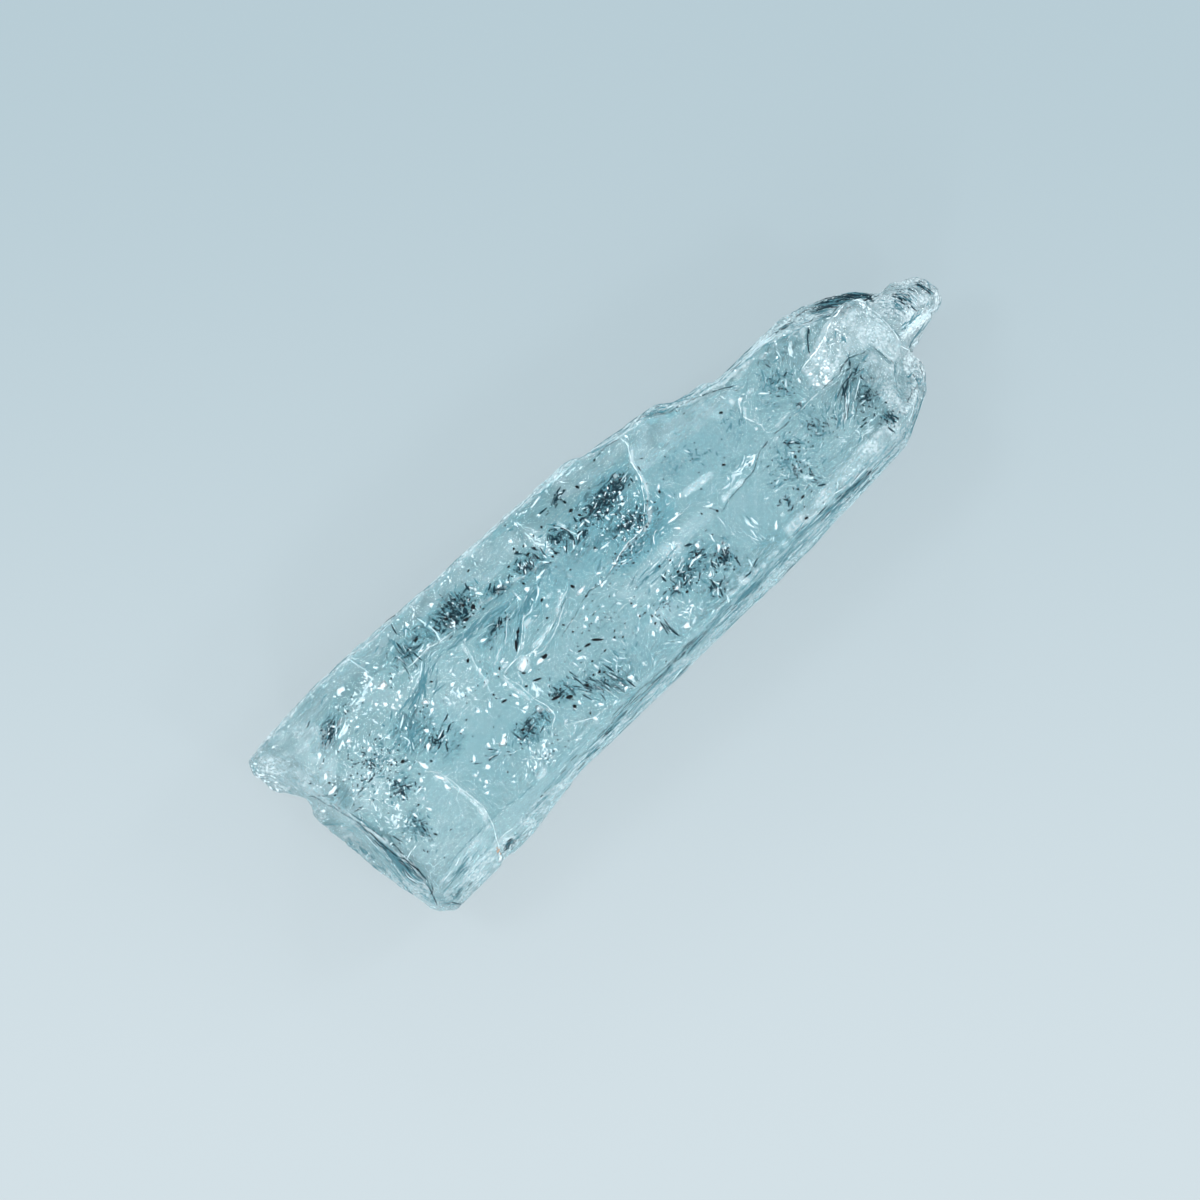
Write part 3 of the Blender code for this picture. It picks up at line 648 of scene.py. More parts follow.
def addFleck(shape, place, normal, sizes, turn, lobes, chance, ring=9):
    # A flat lump with an uneven outline.
    points, faces = shape
    first = len(points)
    along = Vector((math.cos(turn), math.sin(turn), 0))
    along = (along - normal * along.dot(normal)).normalized()
    across = normal.cross(along)
    waves = [(count, chance.uniform(0, 6.28), chance.uniform(0.4, 1) * lobes / count) for count in (2, 3, 5)]
    for number in range(ring):
        angle = fullTurn * number / ring
        reach = 1 + sum(share * math.sin(count * angle + start) for count, start, share in waves)
        points.append(place + along * (reach * sizes[0] * math.cos(angle))
                      + across * (reach * sizes[1] * math.sin(angle)))
    points.append(place + normal * sizes[2])
    points.append(place - normal * sizes[2])
    for number in range(ring):
        near, beside = first + number, first + (number + 1) % ring
        faces.append((near, beside, first + ring))
        faces.append((beside, near, first + ring + 1))


def shapePiece(name, shape, colour, roughness, variation):
    points, faces = shape
    mesh = bpy.data.meshes.new(name)
    mesh.from_pydata([point * mm for point in points], [], faces)
    mesh.shade_smooth()
    mesh.materials.append(plainFinish(name + "Finish", colour, roughness, variation))
    piece = bpy.data.objects.new(name, mesh)
    bpy.context.scene.collection.objects.link(piece)
    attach(piece, "root")
    print(name + ":", sum(len(face) - 2 for face in faces), "triangles")


def plainFinish(name, colour, roughness, variation):
    material, place = newMaterial(name)
    mottle = place.noise(6, 3).ramp(0.3, 0.7) * variation
    tone = mottle.tinted(colour, (1, 1, 1, 1))
    finishMaterial(place.node("ShaderNodeBsdfPrincipled", {}, {
        "Base Color": tone, "Roughness": roughness, "Specular IOR Level": 0.1}))
    return material


fractureLook = {
    "seed": 21, "thickness": 0.04, "depth": (-0.025, 0.012), "softShare": 0.25,
    "crowding": 0.62,  # how far the slivers and specks of a patch spread from its middle
    # threads: distance between places, longest jump, how often one breaks, how blunt its ends are
    "threadStep": 0.13, "threadJump": 0.5, "threadBreak": 0.09, "threadEnd": 0.35,
    # the bright and pale slivers beside dark ones are partly painted highlight and painted shadow on the
    # edges of the etched relief
    "deepColour": (0.003, 0.022, 0.034, 1), "softColour": (0.060, 0.185, 0.225, 1),
    "paleColour": (0.52, 0.68, 0.73, 1), "brightColour": (0.82, 0.92, 0.95, 1),
    "mottle": {"deep": 0.01, "soft": 0.05, "pale": 0.35, "bright": 0.3},
    # on the steep faces: tone, number, length, width
    "sides": [("soft", 900, 1.3, 0.06), ("deep", 160, 0.7, 0.06), ("pale", 320, 0.9, 0.05)],
    # place along and across, half sizes and turn of the patch, number, heading (None runs round),
    # spread of headings, length, width, share that is pale
    "deep": [
        (-22.2, 5.7, 1.1, 0.5, 25, 44, 25, 14, 0.5, 0.08, 0.0875),
        (-14.9, 6, 1.6, 0.8, 0, 48, 88, 9, 0.55, 0.07, 0.0875),
        (-10.8, 5.7, 1.7, 1.05, 0, 100, 92, 14, 0.45, 0.08, 0.042),
        (-10.9, 5.6, 1.8, 1, 0, 70, 2, 14, 0.4, 0.07, 0.035),
        (-14.9, 6, 1.6, 0.7, 0, 30, 0, 9, 0.5, 0.06, 0.07),
        (-7.7, 4.7, 1.3, 0.5, -8, 36, 60, 60, 0.35, 0.09, 0.105),
        (-5.1, 4.4, 0.95, 0.7, 0, 44, None, 20, 0.45, 0.09, 0.105),
        (-3.9, 4.2, 0.35, 0.9, 0, 14, 100, 25, 0.45, 0.08, 0.105),
        (-2.3, 4.3, 0.7, 0.75, 0, 46, None, 25, 0.4, 0.1, 0.0875),
        (-0.6, 6.1, 1, 0.4, 10, 20, 15, 22, 0.45, 0.07, 0.07),
        (-1.3, 3.2, 1.3, 0.8, 0, 40, 20, 55, 0.4, 0.08, 0.14),
        (1.6, 3.75, 2.2, 0.75, 4, 245, 10, 60, 0.26, 0.09, 0.035),
        (2.6, 3.8, 1.2, 0.55, 0, 78, 5, 40, 0.3, 0.1, 0.028),
        (3, 3.9, 0.7, 0.5, 0, 24, 8, 12, 0.6, 0.07, 0.105),
        (1.9, 1.5, 1.6, 0.8, -6, 120, 60, 60, 0.28, 0.08, 0.07),
        (-17.4, 0.2, 1.2, 0.7, -10, 46, 10, 30, 0.4, 0.08, 0.1225),
        (-21.5, -0.2, 0.7, 1.1, 15, 40, -50, 45, 0.32, 0.08, 0.105),
        (-23.5, 1.6, 1.2, 0.5, 0, 16, -15, 25, 0.4, 0.07, 0.105),
        (-22.6, -3.5, 0.45, 1.3, 0, 26, 80, 35, 0.28, 0.07, 0.105),
        (-15.6, -3.1, 1.1, 0.35, -20, 34, -20, 50, 0.2, 0.06, 0.07),
        (-12.6, -3.6, 0.75, 0.65, 0, 16, 15, 8, 0.6, 0.07, 0.105),
        (-12.6, -3.6, 0.75, 0.65, 0, 12, 95, 8, 0.6, 0.07, 0.105),
        (-11.2, -3.5, 0.45, 0.5, 0, 16, None, 20, 0.35, 0.07, 0.07),
        (-9.6, -3, 0.7, 0.7, -30, 26, 60, 45, 0.28, 0.08, 0.1225),
        (-7.4, -4.7, 1.9, 0.9, -38, 92, 105, 12, 0.5, 0.055, 0.14),
        (-5.9, -5.6, 1.1, 0.7, -20, 44, 97, 10, 0.6, 0.07, 0.1225),
        (-9.2, 2.9, 1.3, 0.4, 5, 36, 20, 30, 0.35, 0.08, 0.035),
        (-1.1, -5.2, 0.35, 0.8, 0, 14, 85, 8, 0.65, 0.08, 0.105),
        (2.3, -3.5, 2.1, 0.75, 8, 122, 12, 55, 0.34, 0.075, 0.105),
        (4.9, -4.6, 0.85, 1.1, 0, 66, 60, 60, 0.3, 0.075, 0.105),
        (3.1, -5.8, 0.9, 0.5, -10, 38, 35, 60, 0.42, 0.09, 0.1225),
        (5.4, -6.6, 0.5, 0.2, 0, 10, 0, 20, 0.4, 0.07, 0.07),
        (12.2, -4.2, 1.8, 2, 0, 28, 0, 90, 0.24, 0.07, 0.07),
        (13.6, -2.45, 0.45, 0.55, 0, 20, -55, 22, 0.4, 0.11, 0.07),
        (10.6, -4.8, 0.3, 1, 0, 18, 0, 90, 0.28, 0.09, 0.105),
        (12.9, -5.2, 0.6, 0.6, 0, 14, -60, 30, 0.32, 0.07, 0.105),
        (15.6, 1.3, 1.6, 1.6, 0, 28, 0, 90, 0.26, 0.06, 0.07),
        (15.8, -1, 0.6, 0.2, -10, 10, -15, 15, 0.35, 0.08, 0.07),
        (15.2, -3.3, 0.5, 1.2, 0, 22, 0, 90, 0.28, 0.07, 0.14),
        (18.6, -2.65, 1.9, 0.5, 38, 46, 38, 8, 0.8, 0.07, 0.175),
        (19.2, -3.8, 0.85, 0.8, 0, 32, 0, 90, 0.26, 0.07, 0.1225),
        (20, -2.1, 0.5, 0.7, 0, 22, 0, 90, 0.28, 0.09, 0.105),
        (19.4, -5.9, 0.7, 0.65, 0, 34, 95, 22, 0.36, 0.06, 0.105),
        (17.8, -5, 0.7, 0.3, 0, 10, 0, 40, 0.25, 0.08, 0.07),
        (22.3, 2.35, 1.5, 0.5, -18, 130, -22, 12, 0.6, 0.1, 0.0525),
        (24, 1.35, 1, 0.38, -42, 80, -40, 10, 0.55, 0.1, 0.0525),
        (18.4, 3.6, 0.7, 0.2, -5, 12, -10, 10, 0.5, 0.07, 0.07),
        (25.9, -0.8, 0.6, 0.7, 10, 90, -80, 4, 0.34, 0.05, 0.035),
        (27.4, -1.3, 0.25, 0.6, 15, 40, -78, 5, 0.34, 0.06, 0.035),
        (-24, -8, 1.1, 0.25, -5, 22, -6, 8, 0.4, 0.06, 0.035),
        (-19.1, -8.1, 0.5, 0.35, 0, 30, -40, 35, 0.35, 0.1, 0.035),
        (-25.15, -3.4, 0.45, 3.2, 2, 130, 91, 4, 0.9, 0.06, 0.035),
        (-8.9, -7.4, 4.5, 0.45, 0, 44, 2, 6, 0.6, 0.045, 0.105),
        (-2, -7.3, 7, 0.45, 0, 60, 0, 5, 0.65, 0.045, 0.035),
        (14, -7.4, 5, 0.45, -2, 76, -2, 5, 0.65, 0.045, 0.035),
    ],
    "soft": [
        (-16, 3.5, 3.2, 0.7, 25, 80, 28, 12, 1, 0.09, 0.1225),
        (-10.5, 3.9, 4, 0.5, -8, 70, -5, 9, 0.9, 0.06, 0.07),
        (-18.5, 1.9, 1.6, 1.2, 35, 44, 35, 25, 0.6, 0.09, 0.07),
        (-6.6, 2.6, 3.2, 0.9, 20, 90, 25, 15, 0.6, 0.08, 0.07),
        (0, 1.9, 1.6, 0.9, 0, 40, 15, 40, 0.5, 0.09, 0.105),
        (-26.6, -1.6, 0.5, 2.4, 5, 60, 95, 22, 0.3, 0.07, 0.035),
        (-25.3, -3.6, 0.55, 3.4, 2, 150, 91, 5, 0.9, 0.05, 0.07),
        (3.7, -7.4, 16, 0.6, 0, 240, 0, 5, 0.9, 0.045, 0.035),
        (13.2, -7.45, 5.5, 0.5, 0, 100, -2, 5, 0.9, 0.05, 0.035),
        (-22.6, -6.9, 1.5, 0.6, 10, 44, 18, 10, 0.6, 0.05, 0.07),
        (25, -2.3, 1.2, 0.4, 0, 20, 5, 15, 0.45, 0.07, 0.14),
        (25.2, -0.9, 1.2, 0.9, 0, 140, -82, 6, 0.26, 0.04, 0.14),
        (8.4, 1.6, 1.4, 1.2, 0, 30, 0, 90, 0.3, 0.09, 0.14),
        (12, 1.2, 0.9, 0.9, 0, 16, 0, 90, 0.28, 0.09, 0.105),
        (4.5, 7, 1.6, 0.5, -8, 24, -10, 25, 0.45, 0.08, 0.14),
        (8.6, 5.6, 2.6, 0.35, -25, 34, -30, 20, 0.4, 0.08, 0.14),
        (12.2, -3, 2.6, 3, 0, 70, 0, 90, 0.36, 0.08, 0.14),
        (1.2, 0, 2.2, 0.6, 0, 130, 10, 35, 0.36, 0.07, 0.07),
        (-5, -4.3, 3.5, 1.2, 0, 50, 90, 50, 0.35, 0.07, 0.14),
        (3, -3.9, 3.2, 1.6, 0, 70, 30, 60, 0.5, 0.1, 0.1225),
        (-12.6, -4.2, 2.2, 1.2, 0, 40, 40, 60, 0.35, 0.08, 0.175),
        (-22.6, -2.8, 1.4, 2.2, 0, 110, 80, 40, 0.22, 0.06, 0.07),
        (-21, 2, 3.2, 2.4, 20, 170, 20, 60, 0.18, 0.07, 0.14),
        (15.5, 1.4, 2.2, 1.8, 0, 60, 30, 70, 0.5, 0.09, 0.14),
        (17, -3.4, 3.2, 2.2, 20, 56, 35, 45, 0.4, 0.07, 0.14),
        (22.6, -5.4, 0.9, 0.8, -40, 24, 40, 50, 0.35, 0.07, 0.14),
        (21, 0.3, 2.2, 0.9, 10, 20, 20, 50, 0.3, 0.06, 0.105),
        (-12, -7.6, 14, 0.8, 0, 90, 1, 8, 0.7, 0.06, 0.105),
        (-13.8, 7.2, 8, 0.9, -4, 60, 10, 60, 0.3, 0.07, 0.175),
        (0.4, -1.9, 3.2, 0.6, 0, 40, 3, 8, 0.9, 0.06, 0.21),
    ],
    "pale": [
        (-17.7, 7.4, 0.25, 1, 5, 9, 95, 6, 0.6, 0.07, 1),
        (-3.4, 5.4, 0.45, 0.7, 5, 18, 100, 25, 0.3, 0.06, 1),
        (-3.2, 4.5, 0.28, 0.6, 5, 12, 100, 20, 0.3, 0.06, 1),
        (-12.5, 5.9, 0.12, 1, 0, 10, 92, 4, 1.1, 0.08, 1),
        (-1.3, 4.1, 0.3, 0.7, 0, 7, 105, 4, 0.9, 0.08, 1),
        (-19, 5.9, 1.1, 0.25, 8, 22, 8, 18, 0.5, 0.11, 1),
        (-21.7, 5.2, 0.9, 0.25, 28, 14, 28, 10, 0.5, 0.11, 1),
        (-13, -5.5, 1.4, 0.8, 0, 26, 70, 30, 0.3, 0.05, 1),
        (-14.3, 1.4, 2.4, 1.6, 20, 90, 0, 90, 0.18, 0.06, 1),
        (0.4, -5.7, 0.9, 0.8, 0, 12, 30, 60, 0.22, 0.06, 1),
        (2.9, -1.6, 0.75, 0.35, 0, 16, 90, 50, 0.16, 0.06, 1),
        (17.9, 2.1, 0.5, 0.35, 40, 14, 45, 12, 0.45, 0.12, 1),
        (-10.4, -2, 0.35, 0.9, 0, 26, 80, 40, 0.3, 0.08, 1),
        (-23.2, -1.4, 0.9, 2.4, 10, 50, 20, 70, 0.28, 0.1, 1),
        (8, -4.4, 2.4, 2.1, 0, 26, 92, 12, 0.45, 0.06, 1),
        (25.6, -2.7, 2, 0.35, -8, 40, -8, 18, 0.5, 0.09, 1),
        (16, 3.8, 2.6, 0.22, -4, 40, -4, 14, 0.55, 0.09, 1),
        (1.2, 7.1, 2, 0.35, -2, 30, 5, 30, 0.35, 0.09, 1),
        (9, -1.3, 2.6, 0.4, 5, 30, 10, 30, 0.35, 0.08, 1),
        (12.5, -4.6, 2.4, 1.7, 0, 44, 20, 60, 0.22, 0.06, 1),
        (17.6, -5.4, 2, 0.8, 0, 36, 0, 40, 0.26, 0.06, 1),
        (-22, 0.4, 3, 2.6, 20, 90, 20, 60, 0.12, 0.05, 1),
        (-21.4, -7.4, 1.6, 0.5, 22, 22, 22, 12, 0.5, 0.06, 1),
        (0.2, -6.3, 14, 0.5, 0, 60, 0, 20, 0.26, 0.05, 1),
    ],
    # dark specks: place, half sizes and turn of the patch, number, size range
    "specks": [
        (-10.9, 5.6, 1.5, 0.95, 0, 90, (0.03, 0.08)), (-10, 5.2, 0.8, 0.6, 0, 26, (0.05, 0.12)),
        (-14.6, 6, 1.5, 0.7, 0, 40, (0.03, 0.07)), (-22.3, 5.7, 0.9, 0.5, 20, 34, (0.03, 0.08)),
        (-7.7, 4.7, 1.2, 0.5, -8, 36, (0.03, 0.07)), (-5, 4.4, 0.8, 0.6, 0, 30, (0.03, 0.07)),
        (-2.3, 4.2, 0.7, 0.7, 0, 40, (0.03, 0.08)), (-0.5, 6.1, 1, 0.35, 8, 24, (0.03, 0.08)),
        (1.6, 3.75, 2, 0.65, 4, 150, (0.03, 0.09)), (2.9, 3.8, 1, 0.5, 0, 60, (0.04, 0.1)),
        (-0.6, 3.2, 1.2, 0.6, 0, 30, (0.03, 0.07)), (2.2, 1.5, 1.2, 0.6, -6, 60, (0.03, 0.08)),
        (-17.6, 0.4, 1.6, 1.3, 20, 60, (0.03, 0.07)), (-21.4, -0.2, 0.8, 0.9, 0, 40, (0.03, 0.07)),
        (-22.6, -2.8, 1.5, 2.1, 0, 110, (0.02, 0.06)), (-12.6, -3.5, 1.2, 0.7, 0, 34, (0.03, 0.07)),
        (-9.5, -3.3, 0.9, 0.7, -30, 40, (0.03, 0.08)), (-6.8, -4.9, 1.6, 1, -30, 50, (0.03, 0.07)),
        (2.6, -3.6, 2, 0.9, 8, 90, (0.03, 0.08)), (4.7, -4.8, 0.9, 1, 0, 50, (0.03, 0.08)),
        (12.4, -3.8, 1.9, 2.3, 0, 70, (0.03, 0.07)), (15.4, -2.6, 0.8, 1.5, 0, 36, (0.03, 0.07)),
        (15.6, 0.6, 1.5, 1.3, 0, 40, (0.03, 0.07)), (19.3, -3.7, 1.1, 1.5, 0, 70, (0.03, 0.08)),
        (0.6, 0.1, 2.2, 0.7, 0, 130, (0.03, 0.06)), (-0.2, -3.9, 2.4, 0.9, 0, 50, (0.03, 0.06)),
        (-20.6, 6, 1.4, 0.7, 15, 30, (0.03, 0.06)), (-12.8, -5.7, 1.6, 0.8, 0, 50, (0.02, 0.05)),
        (-21.8, 2.4, 3, 2.4, 15, 170, (0.03, 0.07)), (22.4, 2.3, 1.3, 0.4, -18, 60, (0.03, 0.07)),
        (16, -3, 1.6, 2, 0, 40, (0.03, 0.06)), (-9.2, 2.9, 1.2, 0.5, 0, 30, (0.03, 0.07)),
        (19.4, -5.9, 0.7, 0.5, 0, 40, (0.03, 0.08)), (25.9, -0.8, 0.6, 0.8, 0, 26, (0.03, 0.06)),
        (27.4, -1.3, 0.3, 0.6, 0, 14, (0.03, 0.06)), (8, 1.6, 3.4, 2.2, 0, 24, (0.03, 0.06)),
        (-4, -1.8, 7, 2.2, 0, 60, (0.03, 0.06)), (-13, 1, 6, 4, 0, 50, (0.03, 0.06)),
    ],
    # healed cracks and sharp edges, the bright and deep threads partly painted highlight and painted shadow:
    # tone, width, points along and across
    "lines": [
        ("bright", 0.052, [(5.5, 6), (5.55, 5.3), (5.3, 4.9), (4.9, 4.2), (4.65, 3.3), (4.2, 2.5),
            (3.65, 1.7), (2.95, 1.1), (2.3, 0.6), (1.8, 0.5), (1.1, 0.65), (0.3, 0.6), (-0.4, 0.4),
            (-1.4, 0.15)]),
        ("deep", 0.05, [(2.9, 0.95), (2.2, 0.45), (1.7, 0.38), (1, 0.52), (0.2, 0.45), (-0.5, 0.25),
            (-1.4, 0.05), (-2.4, 0), (-3.1, 0.15), (-3.9, 0), (-4.9, -0.25), (-5.9, -0.55), (-6.9, -0.72)]),
        ("bright", 0.042, [(-4.3, 1.25), (-5.1, 1), (-5.9, 0.6), (-6.6, 0.35), (-7.3, 0.15), (-8.1, 0),
            (-8.8, -0.05), (-9.4, 0.2)]),
        ("bright", 0.037, [(-5, 0.75), (-5.8, 0.35), (-6.5, 0), (-7.3, -0.25), (-8.2, -0.4),
            (-8.9, -0.25)]),
        ("deep", 0.04, [(-4.6, 0.95), (-5.5, 0.65), (-6.3, 0.3), (-7, 0.1)]),
        ("bright", 0.048, [(-9.9, 0.35), (-10.8, 0.42), (-11.3, 0.25), (-11.3, -0.1), (-11.15, -0.55),
            (-10.95, -1.4), (-10.95, -2.4), (-10.7, -3.3), (-10.75, -4.1), (-11, -4.3), (-11.6, -4.6)]),
        ("bright", 0.031, [(-10.5, -0.2), (-10.6, -0.9), (-10.9, -1.2)]),
        ("bright", 0.036, [(-11.2, 4.2), (-11.7, 3.6), (-11.95, 2.7), (-12.25, 1.8), (-12.4, 0.9),
            (-12.8, -0.1)]),
        ("bright", 0.037, [(-9.9, 1.7), (-10.7, 1.5), (-11.3, 1.1)]),
        ("bright", 0.043, [(-9.8, 1.6), (-9.2, 2.1), (-8.5, 2.75), (-7.9, 3.15)]),
        ("deep", 0.15, [(-9.4, 0.95), (-9, 1.25), (-8.6, 1.6), (-8.2, 1.85)]),
        ("bright", 0.054, [(-9.7, 0.6), (-9, 0.95), (-8.3, 1.45), (-7.6, 2.1), (-7.2, 2.4)]),
        ("bright", 0.028, [(-16, 5.2), (-14.5, 5.15), (-13.4, 5), (-12.5, 4.8), (-11.3, 4.7)]),
        ("soft", 0.05, [(-11.5, 4.6), (-9.9, 4.5), (-8.5, 4.4), (-7, 4.2), (-6.1, 4.15)]),
        ("bright", 0.046, [(-19.4, -0.8), (-18.9, -1.5), (-18.75, -2.5), (-18.65, -3.6), (-18.55, -4.6),
            (-18.7, -5.6), (-19, -6.5), (-19.6, -7.4), (-20.1, -8), (-20.5, -8.5)]),
        ("soft", 0.06, [(-24.4, -7), (-23.6, -6.5), (-22.5, -6.15), (-21, -6), (-19.5, -6.05), (-18, -6.05),
            (-16.5, -6.3), (-15, -6.45)]),
        ("deep", 0.09, [(-26.3, 3.7), (-26, 2.6), (-25.7, 1.5), (-25.3, 0.3), (-24.9, -1), (-24.65, -2.5),
            (-24.6, -4), (-24.7, -5.2), (-25.1, -6.6), (-25.7, -7.7)]),
        ("deep", 0.06, [(-26.5, 3.7), (-25.9, 3.3), (-25.3, 2.8)]),
        ("soft", 0.07, [(-27.3, 1.8), (-26.7, 1.3), (-26, 0.7)]),
        ("deep", 0.07, [(6.8, -2.4), (7.4, -2.2), (8.1, -2.05), (9.1, -2.1), (10.1, -1.95), (10.7, -1.75),
            (11.5, -1.3), (12.5, -1.1)]),
        ("deep", 0.06, [(13.1, -1.15), (13.8, -1.2), (14.6, -1.2)]),
        ("bright", 0.037, [(14.8, -1.25), (16, -1.25), (17.2, -1.3)]),
        ("bright", 0.044, [(13, 2.3), (12.7, 1.8), (12.4, 1.1), (12.6, 0.6), (12.8, -0.1), (12.75, -0.7)]),
        ("deep", 0.07, [(7.2, 6.1), (8, 5.7), (9, 5), (10.2, 4.65), (11.4, 4.2), (12.8, 3.5), (13.6, 3)]),
        ("deep", 0.06, [(3.6, 6.25), (4.4, 6.3), (5, 6.2), (5.6, 5.9)]),
        ("soft", 0.09, [(12.9, 3.8), (14.5, 3.75), (16.5, 3.65), (17.6, 3.2), (19.3, 2.65), (20.4, 2.5)]),
        ("deep", 0.13, [(19.9, 2.45), (19.3, 1.85), (18.8, 1.3), (18.5, 0.9)]),
        ("bright", 0.068, [(17.5, 0.65), (19, 0.8), (20.3, 1.2), (21.2, 1.5)]),
        ("bright", 0.11, [(21.1, 1.85), (21.6, 1.55), (22.3, 1.65), (22.9, 1.7), (23.4, 1.3), (23.8, 0.7)]),
        ("deep", 0.12, [(20.9, 2.1), (21.6, 1.8), (22.3, 1.9), (23, 1.9), (23.6, 1.3), (24, 0.9),
            (25, 0.7)]),
        ("deep", 0.065, [(17.6, -1.3), (19, -1.35), (19.6, -1.1), (20.3, -1.05), (21, -1.4),
            (21.5, -1.55)]),
        ("deep", 0.06, [(21.9, -1.8), (22, -2.5), (22.1, -3.2), (22.15, -3.7)]),
        ("soft", 0.09, [(22.15, -3.7), (21.7, -4.2), (21.3, -4.7)]),
        ("bright", 0.062, [(23.75, 0.6), (23.8, -0.6), (23.7, -2), (23.4, -2.9), (23.7, -3.8),
            (23.75, -4.7)]),
        ("deep", 0.06, [(23.4, -4.85), (23.2, -5.2), (23.1, -5.5)]),
        ("deep", 0.05, [(22.7, -4.9), (22.6, -5.2), (22.5, -5.6)]),
        ("deep", 0.05, [(21, -6), (21.8, -5.8), (22.6, -5.6)]),
        ("bright", 0.037, [(16.9, -4), (18.2, -3), (19.4, -2.2)]),
        ("deep", 0.07, [(17.2, -3.8), (18.4, -2.85), (19.3, -2.3)]),
        ("bright", 0.05, [(17.3, -4.2), (18.6, -3.3), (19.9, -2.5)]),
        ("deep", 0.06, [(17.6, -4.3), (18.9, -3.4), (20, -2.6)]),
        ("bright", 0.037, [(-10.6, -5.2), (-9.8, -5.6), (-8.9, -6.1), (-7.6, -6.3)]),
        ("deep", 0.03, [(-9.8, -7.35), (-8, -7.1), (-6, -6.95), (-4, -7), (-2, -7.15), (0.5, -7.2)]),
        ("soft", 0.04, [(0.5, -6.9), (3, -7), (6, -7.05), (9, -7.15), (12, -7.1), (15, -6.9), (18, -6.9),
            (20, -7)]),
        ("deep", 0.08, [(-24.3, -2.1), (-24.2, -2.5), (-24.1, -2.9)]),
        ("deep", 0.08, [(-25, 0.9), (-24.5, 0.7), (-24.1, 0.6)]),
        ("bright", 0.06, [(-24.8, -4), (-24.1, -3.8), (-23.5, -3.8)]),
        ("deep", 0.1, [(23.6, -3.65), (24.4, -3.3), (25, -3.25)]),
        ("deep", 0.06, [(-23.2, 7.15), (-22.8, 7.3), (-22.5, 7.35)]),
        ("soft", 0.06, [(-21.7, 7.5), (-21, 7.75), (-20.5, 7.85)]),
        ("deep", 0.05, [(6.4, -1.6), (6.6, -1.9), (6.7, -2.2)]),
        ("bright", 0.056, [(1, 0.3), (0.6, 0), (0.4, -0.2)]),
        ("bright", 0.043, [(2.9, -0.1), (2.4, -0.2), (2.2, -0.6), (2, -0.9)]),
        ("bright", 0.037, [(0, -0.25), (0.9, -0.3), (1.5, -0.4)]),
    ],
}


def scatterSlivers(tree, look, shapes, chance):
    for tone in ("soft", "deep", "pale"):
        for *patch, count, heading, spreadOut, length, width, paleShare in look[tone]:
            for _ in range(count):
                reach, around = abs(chance.gauss(0, look["crowding"])), chance.uniform(0, fullTurn)
                place, normal = lookDown(tree, *spotIn(patch, reach, around))
                if place is None:
                    continue
                angle = math.radians(patch[4])
                course = around + angle + 1.57 if heading is None else math.radians(heading)
                course += math.radians(chance.gauss(0, spreadOut * 0.7))
                course += math.pi * chance.randint(0, 1)
                size = min(1.7, math.exp(chance.gauss(-0.15, 0.5)))
                rows = walkSurface(tree, place, normal, Vector((math.cos(course), math.sin(course), 0)),
                                   length * size, min(0.25, spreadOut / 120), chance)
                pick = chance.random()
                kind = "pale" if pick < paleShare else "soft" if pick > 1 - look["softShare"] else tone
                addSliver(shapes[kind], rows, width * size * chance.uniform(0.6, 1.2), look["thickness"],
                          chance.uniform(*look["depth"]), chance)


def scatterSpecks(tree, look, shapes, chance):
    for *patch, count, sizes in look["specks"]:
        for _ in range(count):
            reach, around = abs(chance.gauss(0, look["crowding"])), chance.uniform(0, fullTurn)
            place, normal = lookDown(tree, *spotIn(patch, reach, around))
            if place is None:
                continue
            size = chance.uniform(*sizes)
            addFleck(shapes["deep"], place, normal, (size * chance.uniform(0.9, 1.6), size, 0.02),
                     chance.uniform(0, 3), 0.6, chance, 7)


def scatterSides(tree, mesh, look, shapes, chance):
    # Growth streaks along the steep faces, and short marks across the broken ends.
    steep = [polygon for polygon in mesh.polygons if polygon.normal.z < 0.35 and polygon.center.z > 0.4 * mm]
    for tone, count, length, width in look["sides"]:
        for polygon in chance.choices(steep, k=count):
            atEnd = abs(polygon.normal.x) > 0.6
            heading = Vector((0.1, 1, 0.6) if atEnd else (1, 0, chance.gauss(0, 0.06)))
            rows = walkSurface(tree, polygon.center / mm, polygon.normal.copy(), heading,
                               length * chance.uniform(0.3, 1.6) * (0.4 if atEnd else 1), 0.05, chance)
            addSliver(shapes[tone], rows, width * chance.uniform(0.5, 1.5), look["thickness"],
                      chance.uniform(*look["depth"]), chance)


def layLines(tree, look, shapes, chance):
    # Thin uneven threads along the named lines, broken here and there and where they leave a face.
    thickness, blunt = look["thickness"], look["threadEnd"]
    for tone, width, line in look["lines"]:
        corners = [Vector(corner) for corner in line]
        rows, wander = [], Vector((0, 0))
        for start, end in zip(corners, corners[1:]):
            steps = max(1, round((end - start).length / look["threadStep"]))
            for step in range(steps):
                wander = wander * 0.8 + Vector((chance.gauss(0, 0.02), chance.gauss(0, 0.02)))
                spot = start.lerp(end, step / steps) + wander
                place, normal = lookDown(tree, spot.x, spot.y)
                offEdge = place is None or (rows and (place - rows[-1][0]).length > look["threadJump"])
                if offEdge or (len(rows) > 3 and chance.random() < look["threadBreak"]):
                    if len(rows) > 2:
                        wide = width * chance.uniform(0.6, 1.3)
                        addSliver(shapes[tone], rows, wide, thickness, 0.0, chance, blunt)
                    rows = []
                if place is not None:
                    rows.append((place, normal))
        if len(rows) > 2:
            addSliver(shapes[tone], rows, width, thickness, 0.0, chance, blunt)


